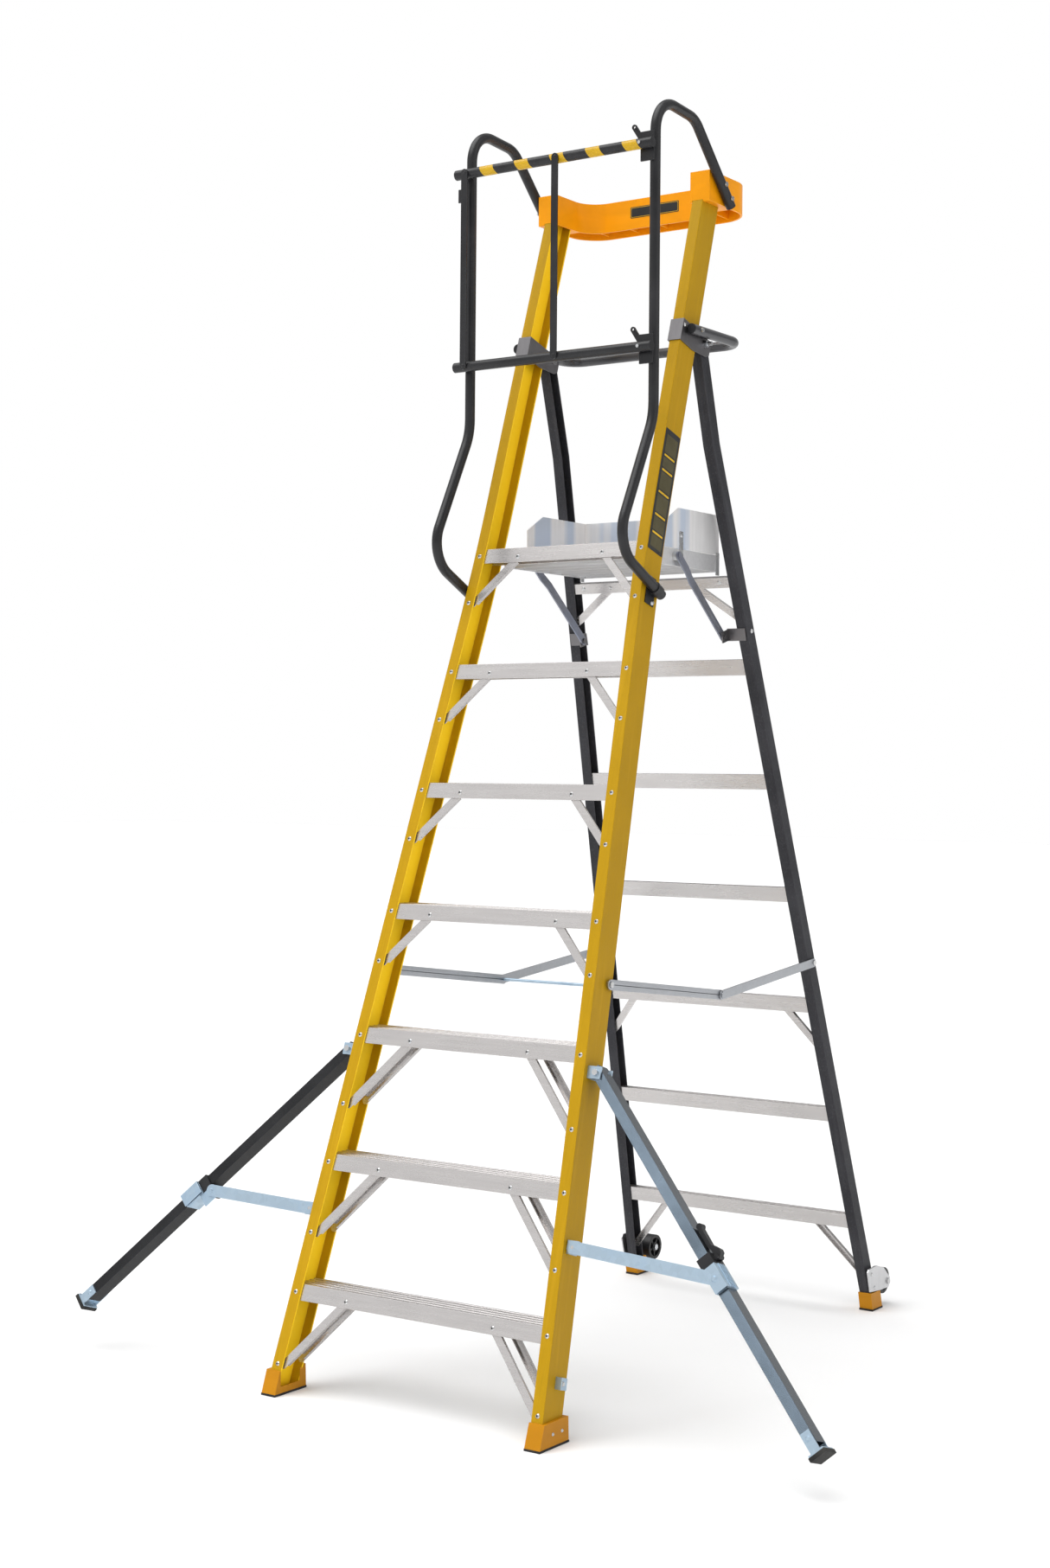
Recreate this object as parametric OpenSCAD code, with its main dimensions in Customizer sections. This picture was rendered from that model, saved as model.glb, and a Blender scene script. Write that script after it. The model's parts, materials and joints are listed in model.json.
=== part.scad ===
// Platform step ladder: a seven-rise glass-fibre front frame with a guard cage and lift-up gate,
// a folding rear frame on wheels, a platform that folds with it, and two side stabilisers.

/* [Front frame] */
// Lean of the front stiles from the vertical, degrees
front_lean = 17.35; // [16.8:0.05:18]
// Half of the outside width over the front stiles at the floor
base_half_w = 382; // [370:1:395]
// Inward taper of a front stile per millimetre of length, below the platform
taper = 0.064; // [0.058:0.001:0.066]
// Inward taper of a front stile per millimetre of length, above the platform
top_taper = 0.0143; // [0.01:0.0001:0.02]
// Depth of the front stile channel
stile_d = 76; // [74:1:80]
// Width of the front stile flanges
stile_w = 30; // [28:1:32]
// Wall thickness of the front stile channel
stile_t = 5; // [4:0.5:6]
// Length of a front stile, from the floor to the top
stile_len = 3040; // [3030:1:3045]

/* [Treads] */
// Distance along the stile from the floor to the first tread
first_tread = 239; // [230:1:245]
// Distance between treads along the stile
tread_pitch = 304.8; // [304:0.1:305.5]
// Height of a tread's front wall
tread_h = 36; // [32:1:38]

/* [Rear frame] */
// Lean of the rear stiles from the vertical, degrees
rear_lean = 15.85; // [15.6:0.05:16.1]
// Half of the outside width over the rear stiles at the hinge
rear_top_half_w = 240.5; // [240:0.1:241]
// Outward flare of a rear stile per millimetre of length, below its straight top
flare = 0.0609; // [0.058:0.0001:0.062]
// Depth of the rear stile channel
rear_d = 38; // [36:1:40]
// Width of the rear stile flanges
rear_w = 28; // [26:0.5:28]
// Height of the lowest rear bar's centre above the floor
rear_bar_z = 247.5; // [240:0.5:255]
// Vertical distance between the rear bars
rear_bar_pitch = 293; // [291:0.5:295]

/* [Guard rails] */
// Diameter of the handrail, mid rail and gate tubes
tube_dia = 25; // [24:0.5:26]
// Height of the mid rail
mid_rail_z = 2523; // [2522:1:2528]
// Height of the gate's top rail
gate_top_z = 2925; // [2915:1:2930]
// Height of the gate's bottom rail
gate_bottom_z = 2444; // [2430:1:2460]

/* [Stabilisers] */
// Angle between the right stabiliser leg and its stile, degrees
right_leg_angle = 43; // [42:0.1:44]
// Angle between the left stabiliser leg and its stile, degrees
left_leg_angle = 44.6; // [44:0.1:45]
// Length of a stabiliser leg tube from its pivot to its foot end
leg_len = 945; // [900:5:960]
// Width of the leg tube, seen from the front
leg_w = 25; // [24:0.5:26]
// Depth of the leg tube, front to back
leg_d = 40; // [36:1:42]

/* [Hidden] */
$fn = 40;
// running clearance of a pin in its hole, and the gap between sliding faces
fit = 0.05;
gap = 0.4;

grp = "#d9a40c";
yellow_plastic = "#eb9a12";
alu = "#b8b4b2";
black = "#2a2a2e";
dark_grp = "#3c3c40";
rubber = "#1c1c1c";
zinc = "#c4d2dc";

// distance from the front edge of the front shoes to the middle of the whole ladder
y_mid = 844.5;

// front stiles: the taper changes to the top taper over this stretch
bend_from = 1918;
bend_to = 2218;
bend_steps = 5;
function bend_in(s) = let(u = min(s, bend_to) - bend_from)
    taper * (s - bend_from) - (taper - top_taper) * (u * u / (2 * (bend_to - bend_from))
    + max(0, s - bend_to));
// half of the outside width over the front stiles at the length s
function front_half_w(s) = base_half_w - taper * min(s, bend_from) - (s > bend_from ? bend_in(s) : 0);
front_stations = concat([-30], [for (i = [0:bend_steps])
    bend_from + i * (bend_to - bend_from) / bend_steps], [3100]);

// rear frame: hinge axis, and the flare's start
hinge_y = 895;
hinge_z = 2500;
flare_from = 250;
function rear_half_w(t) = rear_top_half_w + flare * max(0, t - flare_from);
rear_len = hinge_z / cos(rear_lean);
rear_t = 4;
function rear_t_at(z) = (hinge_z - z) / cos(rear_lean);

tread_count = 7;
function tread_s(i) = first_tread + i * tread_pitch;
tread_rise = (stile_d - 2 * stile_t) * tan(front_lean);
tread_wall = 2.5;
rib_h = 1.6;
rib_w = 4;
rib_count = 5;

// braces below the treads: the lower three treads have long double braces
long_braces = 3;
brace_w = 18;
brace_d = 9;
brace_t = 2;
function brace_in(i) = i < long_braces ? 146 : 113;
function brace_drop(i) = i < long_braces ? 166 : 124;
rivet_r = 5.5;
rivet_h = 2.2;

// guard rails
tube_r = tube_dia / 2;
tube_wall = 2;
handrail_x = 268.6;
handrail_y = 615;
// the handrail's corners as [y, z] from its lower end to its upper end, and their bend radii
handrail_path = [[655, 1862], [453, 1963], [handrail_y, 2282], [handrail_y, 3044], [796, 3032],
    [976, 2856]];
handrail_bends = [0, 82, 150, 78, 70, 0];
handrail_low_run = handrail_path[1] - handrail_path[0];
handrail_top_run = handrail_path[5] - handrail_path[4];
mid_rail_x = 258;
mid_rail_front = 808;
mid_rail_back = 1052;
mid_rail_bend = 50;

// top yoke, seen from above
yoke_half_w = 255.8;
yoke_front = 893;
yoke_back = 1122;
yoke_r = 85;
yoke_in_half_w = 200;
yoke_in_back = 1045;
yoke_in_r = 60;
yoke_low = 2855;
yoke_high = 2932;
yoke_wall = 6;

// platform deck
deck_half_w = 203;
deck_front = 700;
deck_back = 1045;
deck_top = 1990;
deck_h = 42;
deck_wall = 4;
deck_pivot = [706, 1981];
toe_top = 2092;
toe_t = 3;
// pivots of the folding struts: on the deck, and on the rear stiles' brackets
strut_top = [825, 1971];
strut_low = [1054.4, 1784.8];
strut_t = 4;
strut_w = 22;
strut_low_x = 209;
strut_top_x = 214;

// spreader pivots: front stile, knuckle, rear stile
spread_front = [359.2, 958.5];
spread_knuckle = [859, 898];
spread_rear = [hinge_y + 1616 * sin(rear_lean), hinge_z - 1616 * cos(rear_lean)];
arm_h = 24;
arm_t = 4;
arm_front_x = 321.6;
arm_rear_x = 326.2;

// gate
gate_y = 584;
gate_pivot_x = 250;
gate_rail_left = -290;
gate_rail_right = 278;
gate_bars_x = [-258, 12];
gate_bar_w = 18;
gate_bar_t = 4;
pin_r = 4;

// stabilisers, in the plane of the front stiles: x across, s along the stile
leg_pivot = [352, 815];
leg_mid_d = 38;
sleeve_at = 552;
sleeve_len = 58;
sleeve_wall = 2;
collar_len = 28;
brace_pivot = [370, 432];
brace_bar_w = 28;
brace_bar_t = 3.6;
brace_bar_d = 10;

// wheels
wheel_pos = [1667, 66];
wheel_r = 35;
wheel_w = 30;
wheel_x = 347;

// ---- frames of reference and small helpers ----

module place() { translate([0, -y_mid, 0]) children(); }
// x across, y depth behind the front face, z along the front stile
module on_front() { place() rotate([-front_lean, 0, 0]) children(); }
// x across, y depth from the pin's plane, z up along the rear stile from the hinge
module on_rear() { place() translate([0, hinge_y, hinge_z]) rotate([rear_lean, 0, 0]) children(); }
// turns a shape drawn in x, y into one drawn in y, z and extruded along x
module yz() { rotate([90, 0, 90]) children(); }
module both() { children(); mirror([1, 0, 0]) children(); }
// a flat shape drawn in x, z, from the depth d0 to the depth d1
module slab(d0, d1) { translate([0, d1, 0]) rotate([90, 0, 0]) linear_extrude(d1 - d0) children(); }
// a flat shape drawn in y, z, from x0 to x1
module plate(x0, x1) { yz() translate([0, 0, x0]) linear_extrude(x1 - x0) children(); }
module pin_x(x0, x1, y, z, r) { translate([x0, y, z]) rotate([0, 90, 0]) cylinder(r = r, h = x1 - x0); }
module pin_y(y0, y1, x, z, r) { translate([x, y1, z]) rotate([90, 0, 0]) cylinder(r = r, h = y1 - y0); }
// a domed head on a face that looks along +z
module head(r, h) { cylinder(r1 = r, r2 = r * 0.6, h = h); }
// a flat bar between two points of a plane; its round ends are a hair wider than the bar
end_swell = 0.3;
module bar_shape(a, b, w) {
    v = b - a;
    translate(a) rotate(atan2(v[1], v[0])) translate([0, -w / 2]) square([norm(v), w]);
    translate(a) circle(d = w + end_swell);
    translate(b) circle(d = w + end_swell);
}

// a strip between two lines that follow the front stile's outside at the insets a and b
module front_strip(a, b, s0 = -30, s1 = 3100) {
    inner = [for (s = front_stations) [front_half_w(s) - b, s]];
    outer = [for (i = [len(front_stations) - 1:-1:0])
        [front_half_w(front_stations[i]) - a, front_stations[i]]];
    intersection() {
        polygon(concat(inner, outer));
        translate([0, s0]) square([600, s1 - s0]);
    }
}
module rear_strip(a, b, t0 = -26, t1 = 2640) {
    stops = [-26, flare_from, 2640];
    inner = [for (t = stops) [rear_half_w(t) - b, -t]];
    outer = [for (i = [len(stops) - 1:-1:0]) [rear_half_w(stops[i]) - a, -stops[i]]];
    intersection() {
        polygon(concat(inner, outer));
        translate([0, -t1]) square([600, t1 - t0]);
    }
}

// a hollow tube along corners p with bend radii r, drawn in x, y about z = 0
function unit(v) = v / norm(v);
function heading(a, b) = atan2(b[1] - a[1], b[0] - a[0]);
function turn_at(p, i) = let(t = heading(p[i], p[i + 1]) - heading(p[i - 1], p[i]))
    t > 180 ? t - 360 : t < -180 ? t + 360 : t;
function trim_at(p, r, i) = i == 0 || i == len(p) - 1 ? 0 : r[i] * tan(abs(turn_at(p, i)) / 2);
// the bends are a hair thicker than the straight runs, which end inside them
bend_swell = 0.05;
run_in = 2;
module tube_ring(swell) {
    difference() {
        circle(r = tube_r + swell);
        circle(r = tube_r - tube_wall - swell);
    }
}
module pipe(p, r) {
    for (i = [0:len(p) - 2]) {
        d = unit(p[i + 1] - p[i]);
        a = p[i] + d * (i == 0 ? 0 : trim_at(p, r, i) - run_in);
        b = p[i + 1] - d * (i == len(p) - 2 ? 0 : trim_at(p, r, i + 1) - run_in);
        translate(a) rotate([0, 90, heading(a, b)]) linear_extrude(norm(b - a)) tube_ring(0);
    }
    for (i = [1:len(p) - 2]) {
        turn = turn_at(p, i);
        d = unit(p[i] - p[i - 1]);
        side = turn > 0 ? 1 : -1;
        centre = p[i] - d * trim_at(p, r, i) + side * r[i] * [-d[1], d[0]];
        start = heading(p[i - 1], p[i]) + (turn > 0 ? -90 : 90 + turn);
        translate(centre) rotate(start) rotate_extrude(angle = abs(turn))
            translate([r[i], 0]) tube_ring(bend_swell);
    }
}

// ---- front frame ----

stile_foot_z = 9;
module front_stile() {
    color(grp) both_cut() on_front() {
        slab(0, stile_d) front_strip(0, stile_t, -30, stile_len);
        slab(0, stile_t) front_strip(0, stile_w, -30, stile_len);
        slab(stile_d - stile_t, stile_d) front_strip(0, stile_w, -30, stile_len);
    }
}
// cuts everything below the height at which the stiles stand in their shoes
module both_cut() {
    difference() {
        children();
        translate([-600, -1200, -200]) cube([1200, 2400, 200 + stile_foot_z]);
    }
}
module right_front_stile() { front_stile(); }
module left_front_stile() { mirror([1, 0, 0]) front_stile(); }

// a step: ribbed level top, front and rear walls along the flanges, drawn at its own length s
module tread(s) {
    d0 = stile_t;
    d1 = stile_d - stile_t;
    half = front_half_w(s + tread_h / 2 + tread_rise) - stile_t - gap;
    run = d1 - d0;
    color(alu) on_front() translate([0, 0, s]) {
        plate(-half, half) {
            polygon([[d0, tread_h / 2], [d1, tread_h / 2 + tread_rise],
                [d1, tread_h / 2 + tread_rise - 3], [d0, tread_h / 2 - 3]]);
            translate([d0, -tread_h / 2]) square([tread_wall, tread_h - 1]);
            translate([d1 - tread_wall, -tread_h / 2 + tread_rise])
                square([tread_wall, tread_h - 1]);
        }
        for (i = [0:rib_count - 1]) {
            d = d0 + (run - rib_w) * i / (rib_count - 1);
            z = tread_h / 2 + (d - d0) * tan(front_lean) - 1;
            translate([0, d, z]) plate(-half, half) polygon([[0, 0],
                [rib_w, rib_w * tan(front_lean)], [rib_w, rib_w * tan(front_lean) + rib_h + 1],
                [0, rib_h + 1]]);
        }
    }
}
module lower_treads() { for (i = [0:2]) tread(tread_s(i)); }
module upper_treads() { for (i = [3:5]) tread(tread_s(i)); }
module platform_tread() { tread(tread_s(tread_count - 1)); }

module deck_hinge_brackets() {
    color(alu) on_front() both() difference() {
        plate(deck_half_w + 1.5, deck_half_w + 5.5) translate([stile_d - stile_t, tread_s(6)])
            square([20, 34]);
        rotate([front_lean, 0, 0])
            pin_x(deck_half_w, deck_half_w + 8, deck_pivot[0], deck_pivot[1], pin_r + fit);
    }
}

// a channel strut from under tread i to the stile flange, at the depth d0, open along or against y
module tread_brace(i, d0, open) {
    s = tread_s(i) + (open < 0 ? tread_rise : 0);
    x = front_half_w(s) - stile_w / 2;
    a = [x - brace_in(i), s - 4];
    b = [x - 1, s - brace_drop(i)];
    slab(d0, d0 + brace_t) bar_shape(a, b, brace_w);
    v = b - a;
    slab(open > 0 ? d0 : d0 + brace_t - brace_d, open > 0 ? d0 + brace_d : d0 + brace_t)
        translate(a) rotate(atan2(v[1], v[0])) {
            translate([10, -brace_w / 2]) square([norm(v) - 18, brace_t]);
            translate([10, brace_w / 2 - brace_t]) square([norm(v) - 18, brace_t]);
        }
}
module tread_braces() {
    front_d = stile_t + tread_wall;
    rear_d0 = stile_d - stile_t - tread_wall - brace_t;
    color(alu) on_front() both() {
        for (i = [0:tread_count - 1]) tread_brace(i, front_d + 0.1, 1);
        for (i = [0:long_braces - 1]) tread_brace(i, rear_d0 - 0.1, -1);
    }
}

// rivet heads on the front flanges and on the front walls of the treads
module tread_rivets() {
    color(zinc) on_front() both() for (i = [0:tread_count - 1]) {
        s = tread_s(i);
        x = front_half_w(s) - stile_w / 2;
        low = s - brace_drop(i);
        for (p = [[x, s], [front_half_w(low) - stile_w / 2, low]])
            translate([p[0], 0, p[1]]) rotate([90, 0, 0]) head(rivet_r, rivet_h);
        translate([x - brace_in(i), stile_t, s - 4]) rotate([90, 0, 0]) head(rivet_r, rivet_h);
    }
}

// the yoke's outline from above, all walls moved inward by g
module yoke_plan(g) {
    hw = yoke_half_w - g;
    back = yoke_back - g;
    r = yoke_r - g;
    ihw = yoke_in_half_w + g;
    iback = yoke_in_back + g;
    ir = yoke_in_r + g;
    difference() {
        union() {
            translate([-hw, yoke_front + g]) square([2 * hw, back - r - yoke_front - g]);
            translate([-(hw - r), yoke_front + g]) square([2 * (hw - r), back - yoke_front - g]);
            for (x = [-1, 1]) translate([x * (hw - r), back - r]) circle(r = r, $fn = 60);
        }
        translate([-ihw, yoke_front - 50]) square([2 * ihw, iback - ir - yoke_front + 50]);
        translate([-(ihw - ir), yoke_front - 50]) square([2 * (ihw - ir), iback - yoke_front + 50]);
        for (x = [-1, 1]) translate([x * (ihw - ir), iback - ir]) circle(r = ir, $fn = 60);
    }
}
module top_yoke() {
    rib_t = 4;
    socket_back = 1006;
    color(yellow_plastic) difference() {
        place() difference() {
            translate([0, 0, yoke_low]) linear_extrude(yoke_high - yoke_low) yoke_plan(0);
            difference() {
                translate([0, 0, yoke_low - 1])
                    linear_extrude(yoke_high - yoke_low - yoke_wall + 1) intersection() {
                        yoke_plan(yoke_wall);
                        translate([-300, socket_back]) square([600, 200]);
                    }
                for (x = [-180, -90, 0, 90, 180])
                    translate([x - rib_t / 2, socket_back, yoke_low + 8]) cube([rib_t, 200, 80]);
            }
        }
        on_front() both() slab(-0.3, stile_d + 0.3) front_strip(-0.3, stile_w + 0.3, 2900, stile_len + 0.3);
    }
}

module handrail() {
    color(black) place() translate([handrail_x, 0, 0]) yz() pipe(handrail_path, handrail_bends);
}
module right_handrail() { handrail(); }
module left_handrail() { mirror([1, 0, 0]) handrail(); }

clamp_s = 1970;
// moves to a distance along the handrail from its lower end
module on_low_run(along) {
    place() translate([handrail_x, 0, 0]) yz() translate(handrail_path[0])
        rotate([0, 90, atan2(handrail_low_run[1], handrail_low_run[0])])
            translate([0, 0, along]) children();
}
module handrail_clamps() {
    color(black) both() difference() {
        union() {
            on_front() slab(20, 58) front_strip(-3, -0.1, clamp_s - 34, clamp_s + 36);
            on_low_run(12) cylinder(r = tube_r + 3, h = 22);
        }
        on_low_run(-60) cylinder(r = tube_r + 0.1, h = 200);
        on_front() slab(-60, 140) front_strip(-0.1, 40, 1800, 2100);
    }
}

// plastic plugs that close the tube ends
module tube_end_caps() {
    p = handrail_path;
    color(black) both() place() {
        translate([handrail_x, 0, 0]) yz() {
            translate(p[0]) rotate([0, -90, heading(p[0], p[1])])
                translate([0, 0, 0.02]) cylinder(r = tube_r, h = 3);
            translate(p[5]) rotate([0, 90, heading(p[4], p[5])])
                translate([0, 0, 0.02]) cylinder(r = tube_r, h = 3);
        }
        pin_y(mid_rail_front - 3, mid_rail_front - 0.02, mid_rail_x, mid_rail_z, tube_r);
    }
}

bracket_t = 3;
bracket_low = 2612;
bracket_high = 2669;
function bracket_out() = front_half_w(bracket_low) + 0.3;
module hinge_bracket_shape() {
    polygon([[-bracket_t, bracket_low], [58, bracket_low], [122, bracket_low + 12],
        [136, bracket_low + 22], [136, bracket_high + 2], [60, bracket_high],
        [-bracket_t, bracket_high]]);
}
module hinge_brackets() {
    out = bracket_out();
    inside = front_half_w(bracket_high) - stile_w - 0.3;
    color(alu) both() difference() {
        on_front() {
            plate(out, out + bracket_t) hinge_bracket_shape();
            plate(inside - bracket_t, inside) hinge_bracket_shape();
            translate([inside - 1, -bracket_t, bracket_low])
                cube([out - inside + 2, bracket_t - 0.1, bracket_high - bracket_low]);
        }
        place() pin_x(180, 280, hinge_y, hinge_z, pin_r + 1 + fit);
    }
}

module mid_rail() {
    p = [[mid_rail_x, mid_rail_front], [mid_rail_x, mid_rail_back], [-mid_rail_x, mid_rail_back],
        [-mid_rail_x, mid_rail_front]];
    r = [0, mid_rail_bend, mid_rail_bend, 0];
    color(black) place() translate([0, 0, mid_rail_z]) pipe(p, r);
}

// a boot around a stile's foot: side outline in y, z and its width across
shoe_low = 5;
shoe_high = 56;
module front_shoes() {
    lean = tan(front_lean);
    x1 = front_half_w(0) + 5;
    x0 = front_half_w(0) - stile_w - 5;
    color(yellow_plastic) both() difference() {
        place() plate(x0, x1) polygon([[-5, shoe_low], [106, shoe_low], [104, shoe_high],
            [shoe_high * lean - 5, shoe_high]]);
        on_front() slab(-0.3, stile_d + 0.3) intersection() {
            front_strip(-0.3, stile_w + 0.3, -30, 200);
            translate([0, -30]) square([600, 230]);
        }
        place() translate([x0 - 1, 16, 20]) cube([12, 68, 60]);
    }
    // floor of the boot
    color(yellow_plastic) both() place()
        translate([x0 + 0.5, -4, shoe_low]) cube([x1 - x0 - 1, 109, stile_foot_z - shoe_low - 0.2]);
}
module front_shoe_pads() {
    color(rubber) both() place()
        translate([front_half_w(0) - stile_w - 6, -6, 0]) cube([stile_w + 12, 113, shoe_low]);
}

// fixed fittings on the webs: U brackets for the legs, lugs for the braces, and the stowage clips
ear_t = 4.5;
module outrigger_brackets() {
    d0 = leg_mid_d - leg_d / 2 - gap;
    d1 = leg_mid_d + leg_d / 2 + gap;
    s = leg_pivot[1];
    color(zinc) on_front() both() {
        difference() {
            union() {
                slab(d0 - ear_t, d1 + ear_t) front_strip(-3, -0.05, s - 14, s + 14);
                for (d = [d0 - ear_t, d1]) slab(d, d + ear_t)
                    translate([front_half_w(s) + 1.5, s - 14]) square([leg_pivot[0] + 13
                        - front_half_w(s) - 1.5, 28]);
            }
            pin_y(d0 - 10, d1 + 10, leg_pivot[0], s, pin_r + fit);
        }
        difference() {
            union() {
                slab(brace_bar_d + brace_bar_t + gap, brace_bar_d + brace_bar_t + gap + 40)
                    front_strip(-3, -0.05, brace_pivot[1] - 15, brace_pivot[1] + 15);
                slab(brace_bar_d + brace_bar_t + gap, brace_bar_d + brace_bar_t + gap + 4)
                    translate([front_half_w(brace_pivot[1]) + 1.5, brace_pivot[1] - 15])
                        square([brace_pivot[0] + 13 - front_half_w(brace_pivot[1]) - 1.5, 30]);
            }
            pin_y(0, 40, brace_pivot[0], brace_pivot[1], pin_r + fit);
        }
        slab(34, 74) front_strip(-3, -0.05, 134, 160);
        slab(31, 34) front_strip(-16, -0.05, 134, 160);
    }
}

// pins that are fixed in the front frame
module pivot_pins() {
    d0 = leg_mid_d - leg_d / 2 - gap - ear_t;
    d1 = leg_mid_d + leg_d / 2 + gap + ear_t;
    color(zinc) both() {
        // stabiliser leg and brace pins
        on_front() {
            pin_y(d0 - 3, d1 + 3, leg_pivot[0], leg_pivot[1], pin_r);
            pin_y(d0 - 6, d0 - 0.05, leg_pivot[0], leg_pivot[1], 7);
            pin_y(brace_bar_d + 0.2, brace_bar_d + 10, brace_pivot[0], brace_pivot[1], pin_r);
        }
        // rear frame hinge pins, with a nut at each end
        place() {
            in_x = front_half_w(bracket_high) - stile_w - 0.3 - bracket_t;
            out_x = bracket_out() + bracket_t;
            pin_x(in_x - 7, out_x + 20, hinge_y, hinge_z, pin_r + 1);
            pin_x(in_x - 7, in_x - 0.05, hinge_y, hinge_z, 9);
            pin_x(out_x + 0.05, out_x + 8, hinge_y, hinge_z, 9);
            // deck hinge pins
            pin_x(deck_half_w - deck_wall - 3, deck_half_w + 8, deck_pivot[0], deck_pivot[1], pin_r);
            // spreader pins
            web = front_half_w(1022);
            pin_x(web + 0.9, arm_front_x - 0.3, spread_front[0], spread_front[1], 9);
            pin_x(web + 0.9, arm_front_x + arm_t + 3, spread_front[0], spread_front[1], pin_r);
            pin_x(arm_front_x + arm_t + 0.3, arm_front_x + arm_t + 3.3, spread_front[0],
                spread_front[1], 7);
        }
    }
    // gate pins
    color(zinc) place() for (z = [gate_top_z, gate_bottom_z])
        pin_y(gate_y - tube_r - 3, gate_y + tube_r + 5, gate_pivot_x, z, pin_r);
}

module frame_bolts() {
    fall = unit(handrail_top_run);
    color(zinc) both() {
        place() {
            for (k = [20, 62]) {
                q = handrail_path[5] - fall * k;
                pin_x(handrail_x + tube_r + 0.02, handrail_x + tube_r + 3, q[0], q[1], 6);
            }
            // mid rail to bracket
            pin_x(mid_rail_x + tube_r + 0.02, mid_rail_x + tube_r + 3, mid_rail_front + 30, mid_rail_z, 6);
        }
        // handrail clamp, brackets, stowage clip
        on_front() {
            for (q = [[50, 1944], [28, 2000]])
                translate([front_half_w(q[1]) + 3.6, q[0], q[1]]) rotate([0, 90, 0]) head(6, 4);
            translate([bracket_out() + bracket_t, 7, 2655]) rotate([0, 90, 0]) head(5, 3);
            translate([front_half_w(147) + 3.6, 55, 147]) rotate([0, 90, 0]) head(6, 4);
        }
        // shoe screws
        place() {
            for (q = [[45, 30], [80, 30]])
                translate([front_half_w(0) + 5, q[0], q[1]]) rotate([0, 90, 0]) head(4, 2);
        }
    }
}

// plates welded to the right handrail, each with a slotted tab
module gate_hinge_plates() {
    y0 = gate_y + tube_r + 0.5;
    color(black) place() for (z = [gate_top_z, gate_bottom_z]) difference() {
        union() {
            slab(y0, y0 + 5) {
                translate([gate_pivot_x - 12, z - 38]) square([handrail_x + 4 - gate_pivot_x + 12, 70]);
                bar_shape([gate_pivot_x, z], [gate_pivot_x - 30, z + 46], 13);
            }
            translate([handrail_x - 7, y0, z - 38]) cube([14, 6, 70]);
        }
        pin_y(y0 - 2, y0 + 12, gate_pivot_x, z, pin_r + fit);
        pin_y(y0 - 2, y0 + 12, gate_pivot_x - 30, z + 46, 3);
        translate([handrail_x, handrail_y, z - 60]) cylinder(r = tube_r + 0.1, h = 160);
    }
}

// ---- rear frame ----

module rear_stile() {
    h = rear_d / 2;
    color(dark_grp) both_cut() on_rear() difference() {
        union() {
            slab(-h, h) rear_strip(0, rear_t);
            slab(-h, -h + rear_t) rear_strip(0, rear_w);
            slab(h - rear_t, h) rear_strip(0, rear_w);
            // sleeve block that the hinge pin runs in
            translate([rear_half_w(0) - rear_w, -12, -14]) cube([rear_w - 1, 24, 28]);
        }
        pin_x(180, 280, 0, 0, pin_r + 1 + fit);
    }
}
module right_rear_stile() { rear_stile(); }
module left_rear_stile() { mirror([1, 0, 0]) rear_stile(); }

rear_bar_h = 38;
module rear_bar(z) {
    t = rear_t_at(z);
    e0 = -rear_d / 2 + rear_t;
    e1 = rear_d / 2 - rear_t;
    fall = (e1 - e0) * tan(rear_lean);
    half = rear_half_w(t - rear_bar_h / 2) - rear_t - gap;
    top = rear_bar_h / 2;
    translate([0, 0, -t]) plate(-half, half) {
        polygon([[e0, top], [e1, top - fall], [e1, top - fall - 3], [e0, top - 3]]);
        translate([e0, -top]) square([tread_wall, 2 * top - 1]);
        translate([e1 - tread_wall, -top - fall]) square([tread_wall, 2 * top - 1]);
        for (k = [0:2]) {
            e = e0 + k * (e1 - e0 - rib_w) / 2;
            drop = (e - e0) * tan(rear_lean);
            translate([e, top - drop - 2.5]) square([rib_w, rib_h + 2.5]);
        }
    }
}
module rear_bars() {
    color(alu) on_rear() for (k = [0:5]) rear_bar(rear_bar_z + k * rear_bar_pitch);
}

platform_bar_t = 598;
platform_bar_h = 27;
module rear_platform_bar() {
    half = rear_half_w(platform_bar_t - 14) - rear_t - gap;
    e0 = -rear_d / 2 + rear_t;
    color(alu) on_rear() translate([0, 0, -platform_bar_t]) plate(-half, half) {
        translate([e0, -platform_bar_h / 2]) square([3, platform_bar_h]);
        translate([e0, platform_bar_h / 2 - 3]) square([24, 3]);
    }
}

// channel struts from the bars down to the rear stiles, from a to b, with their plate from the depth
// e0 and their walls towards e0 + open * brace_d
module rear_brace(a, b, e0, open) {
    v = b - a;
    slab(min(e0, e0 + open * brace_t), max(e0, e0 + open * brace_t)) bar_shape(a, b, brace_w);
    slab(min(e0, e0 + open * brace_d), max(e0, e0 + open * brace_d))
        translate(a) rotate(atan2(v[1], v[0])) {
            translate([10, -brace_w / 2]) square([norm(v) - 20, brace_t]);
            translate([10, brace_w / 2 - brace_t]) square([norm(v) - 20, brace_t]);
        }
}
module rear_braces() {
    front_e = -rear_d / 2 + rear_t + 3.1;
    back_e = rear_d / 2 - rear_t - tread_wall - 0.1;
    low = rear_t_at(rear_bar_z);
    mid = rear_t_at(rear_bar_z + 2 * rear_bar_pitch);
    top = platform_bar_t;
    color(alu) on_rear() both() {
        rear_brace([rear_half_w(low) - 146, -low - 4], [rear_half_w(low + 170) - 15, -low - 170],
            back_e, -1);
        rear_brace([rear_half_w(mid) - 105, -mid], [rear_half_w(mid + 120) - 15, -mid - 120],
            front_e, 1);
        rear_brace([122, -top - 1], [rear_half_w(top + 98) - 15, -top - 98], front_e, 1);
    }
}

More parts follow.
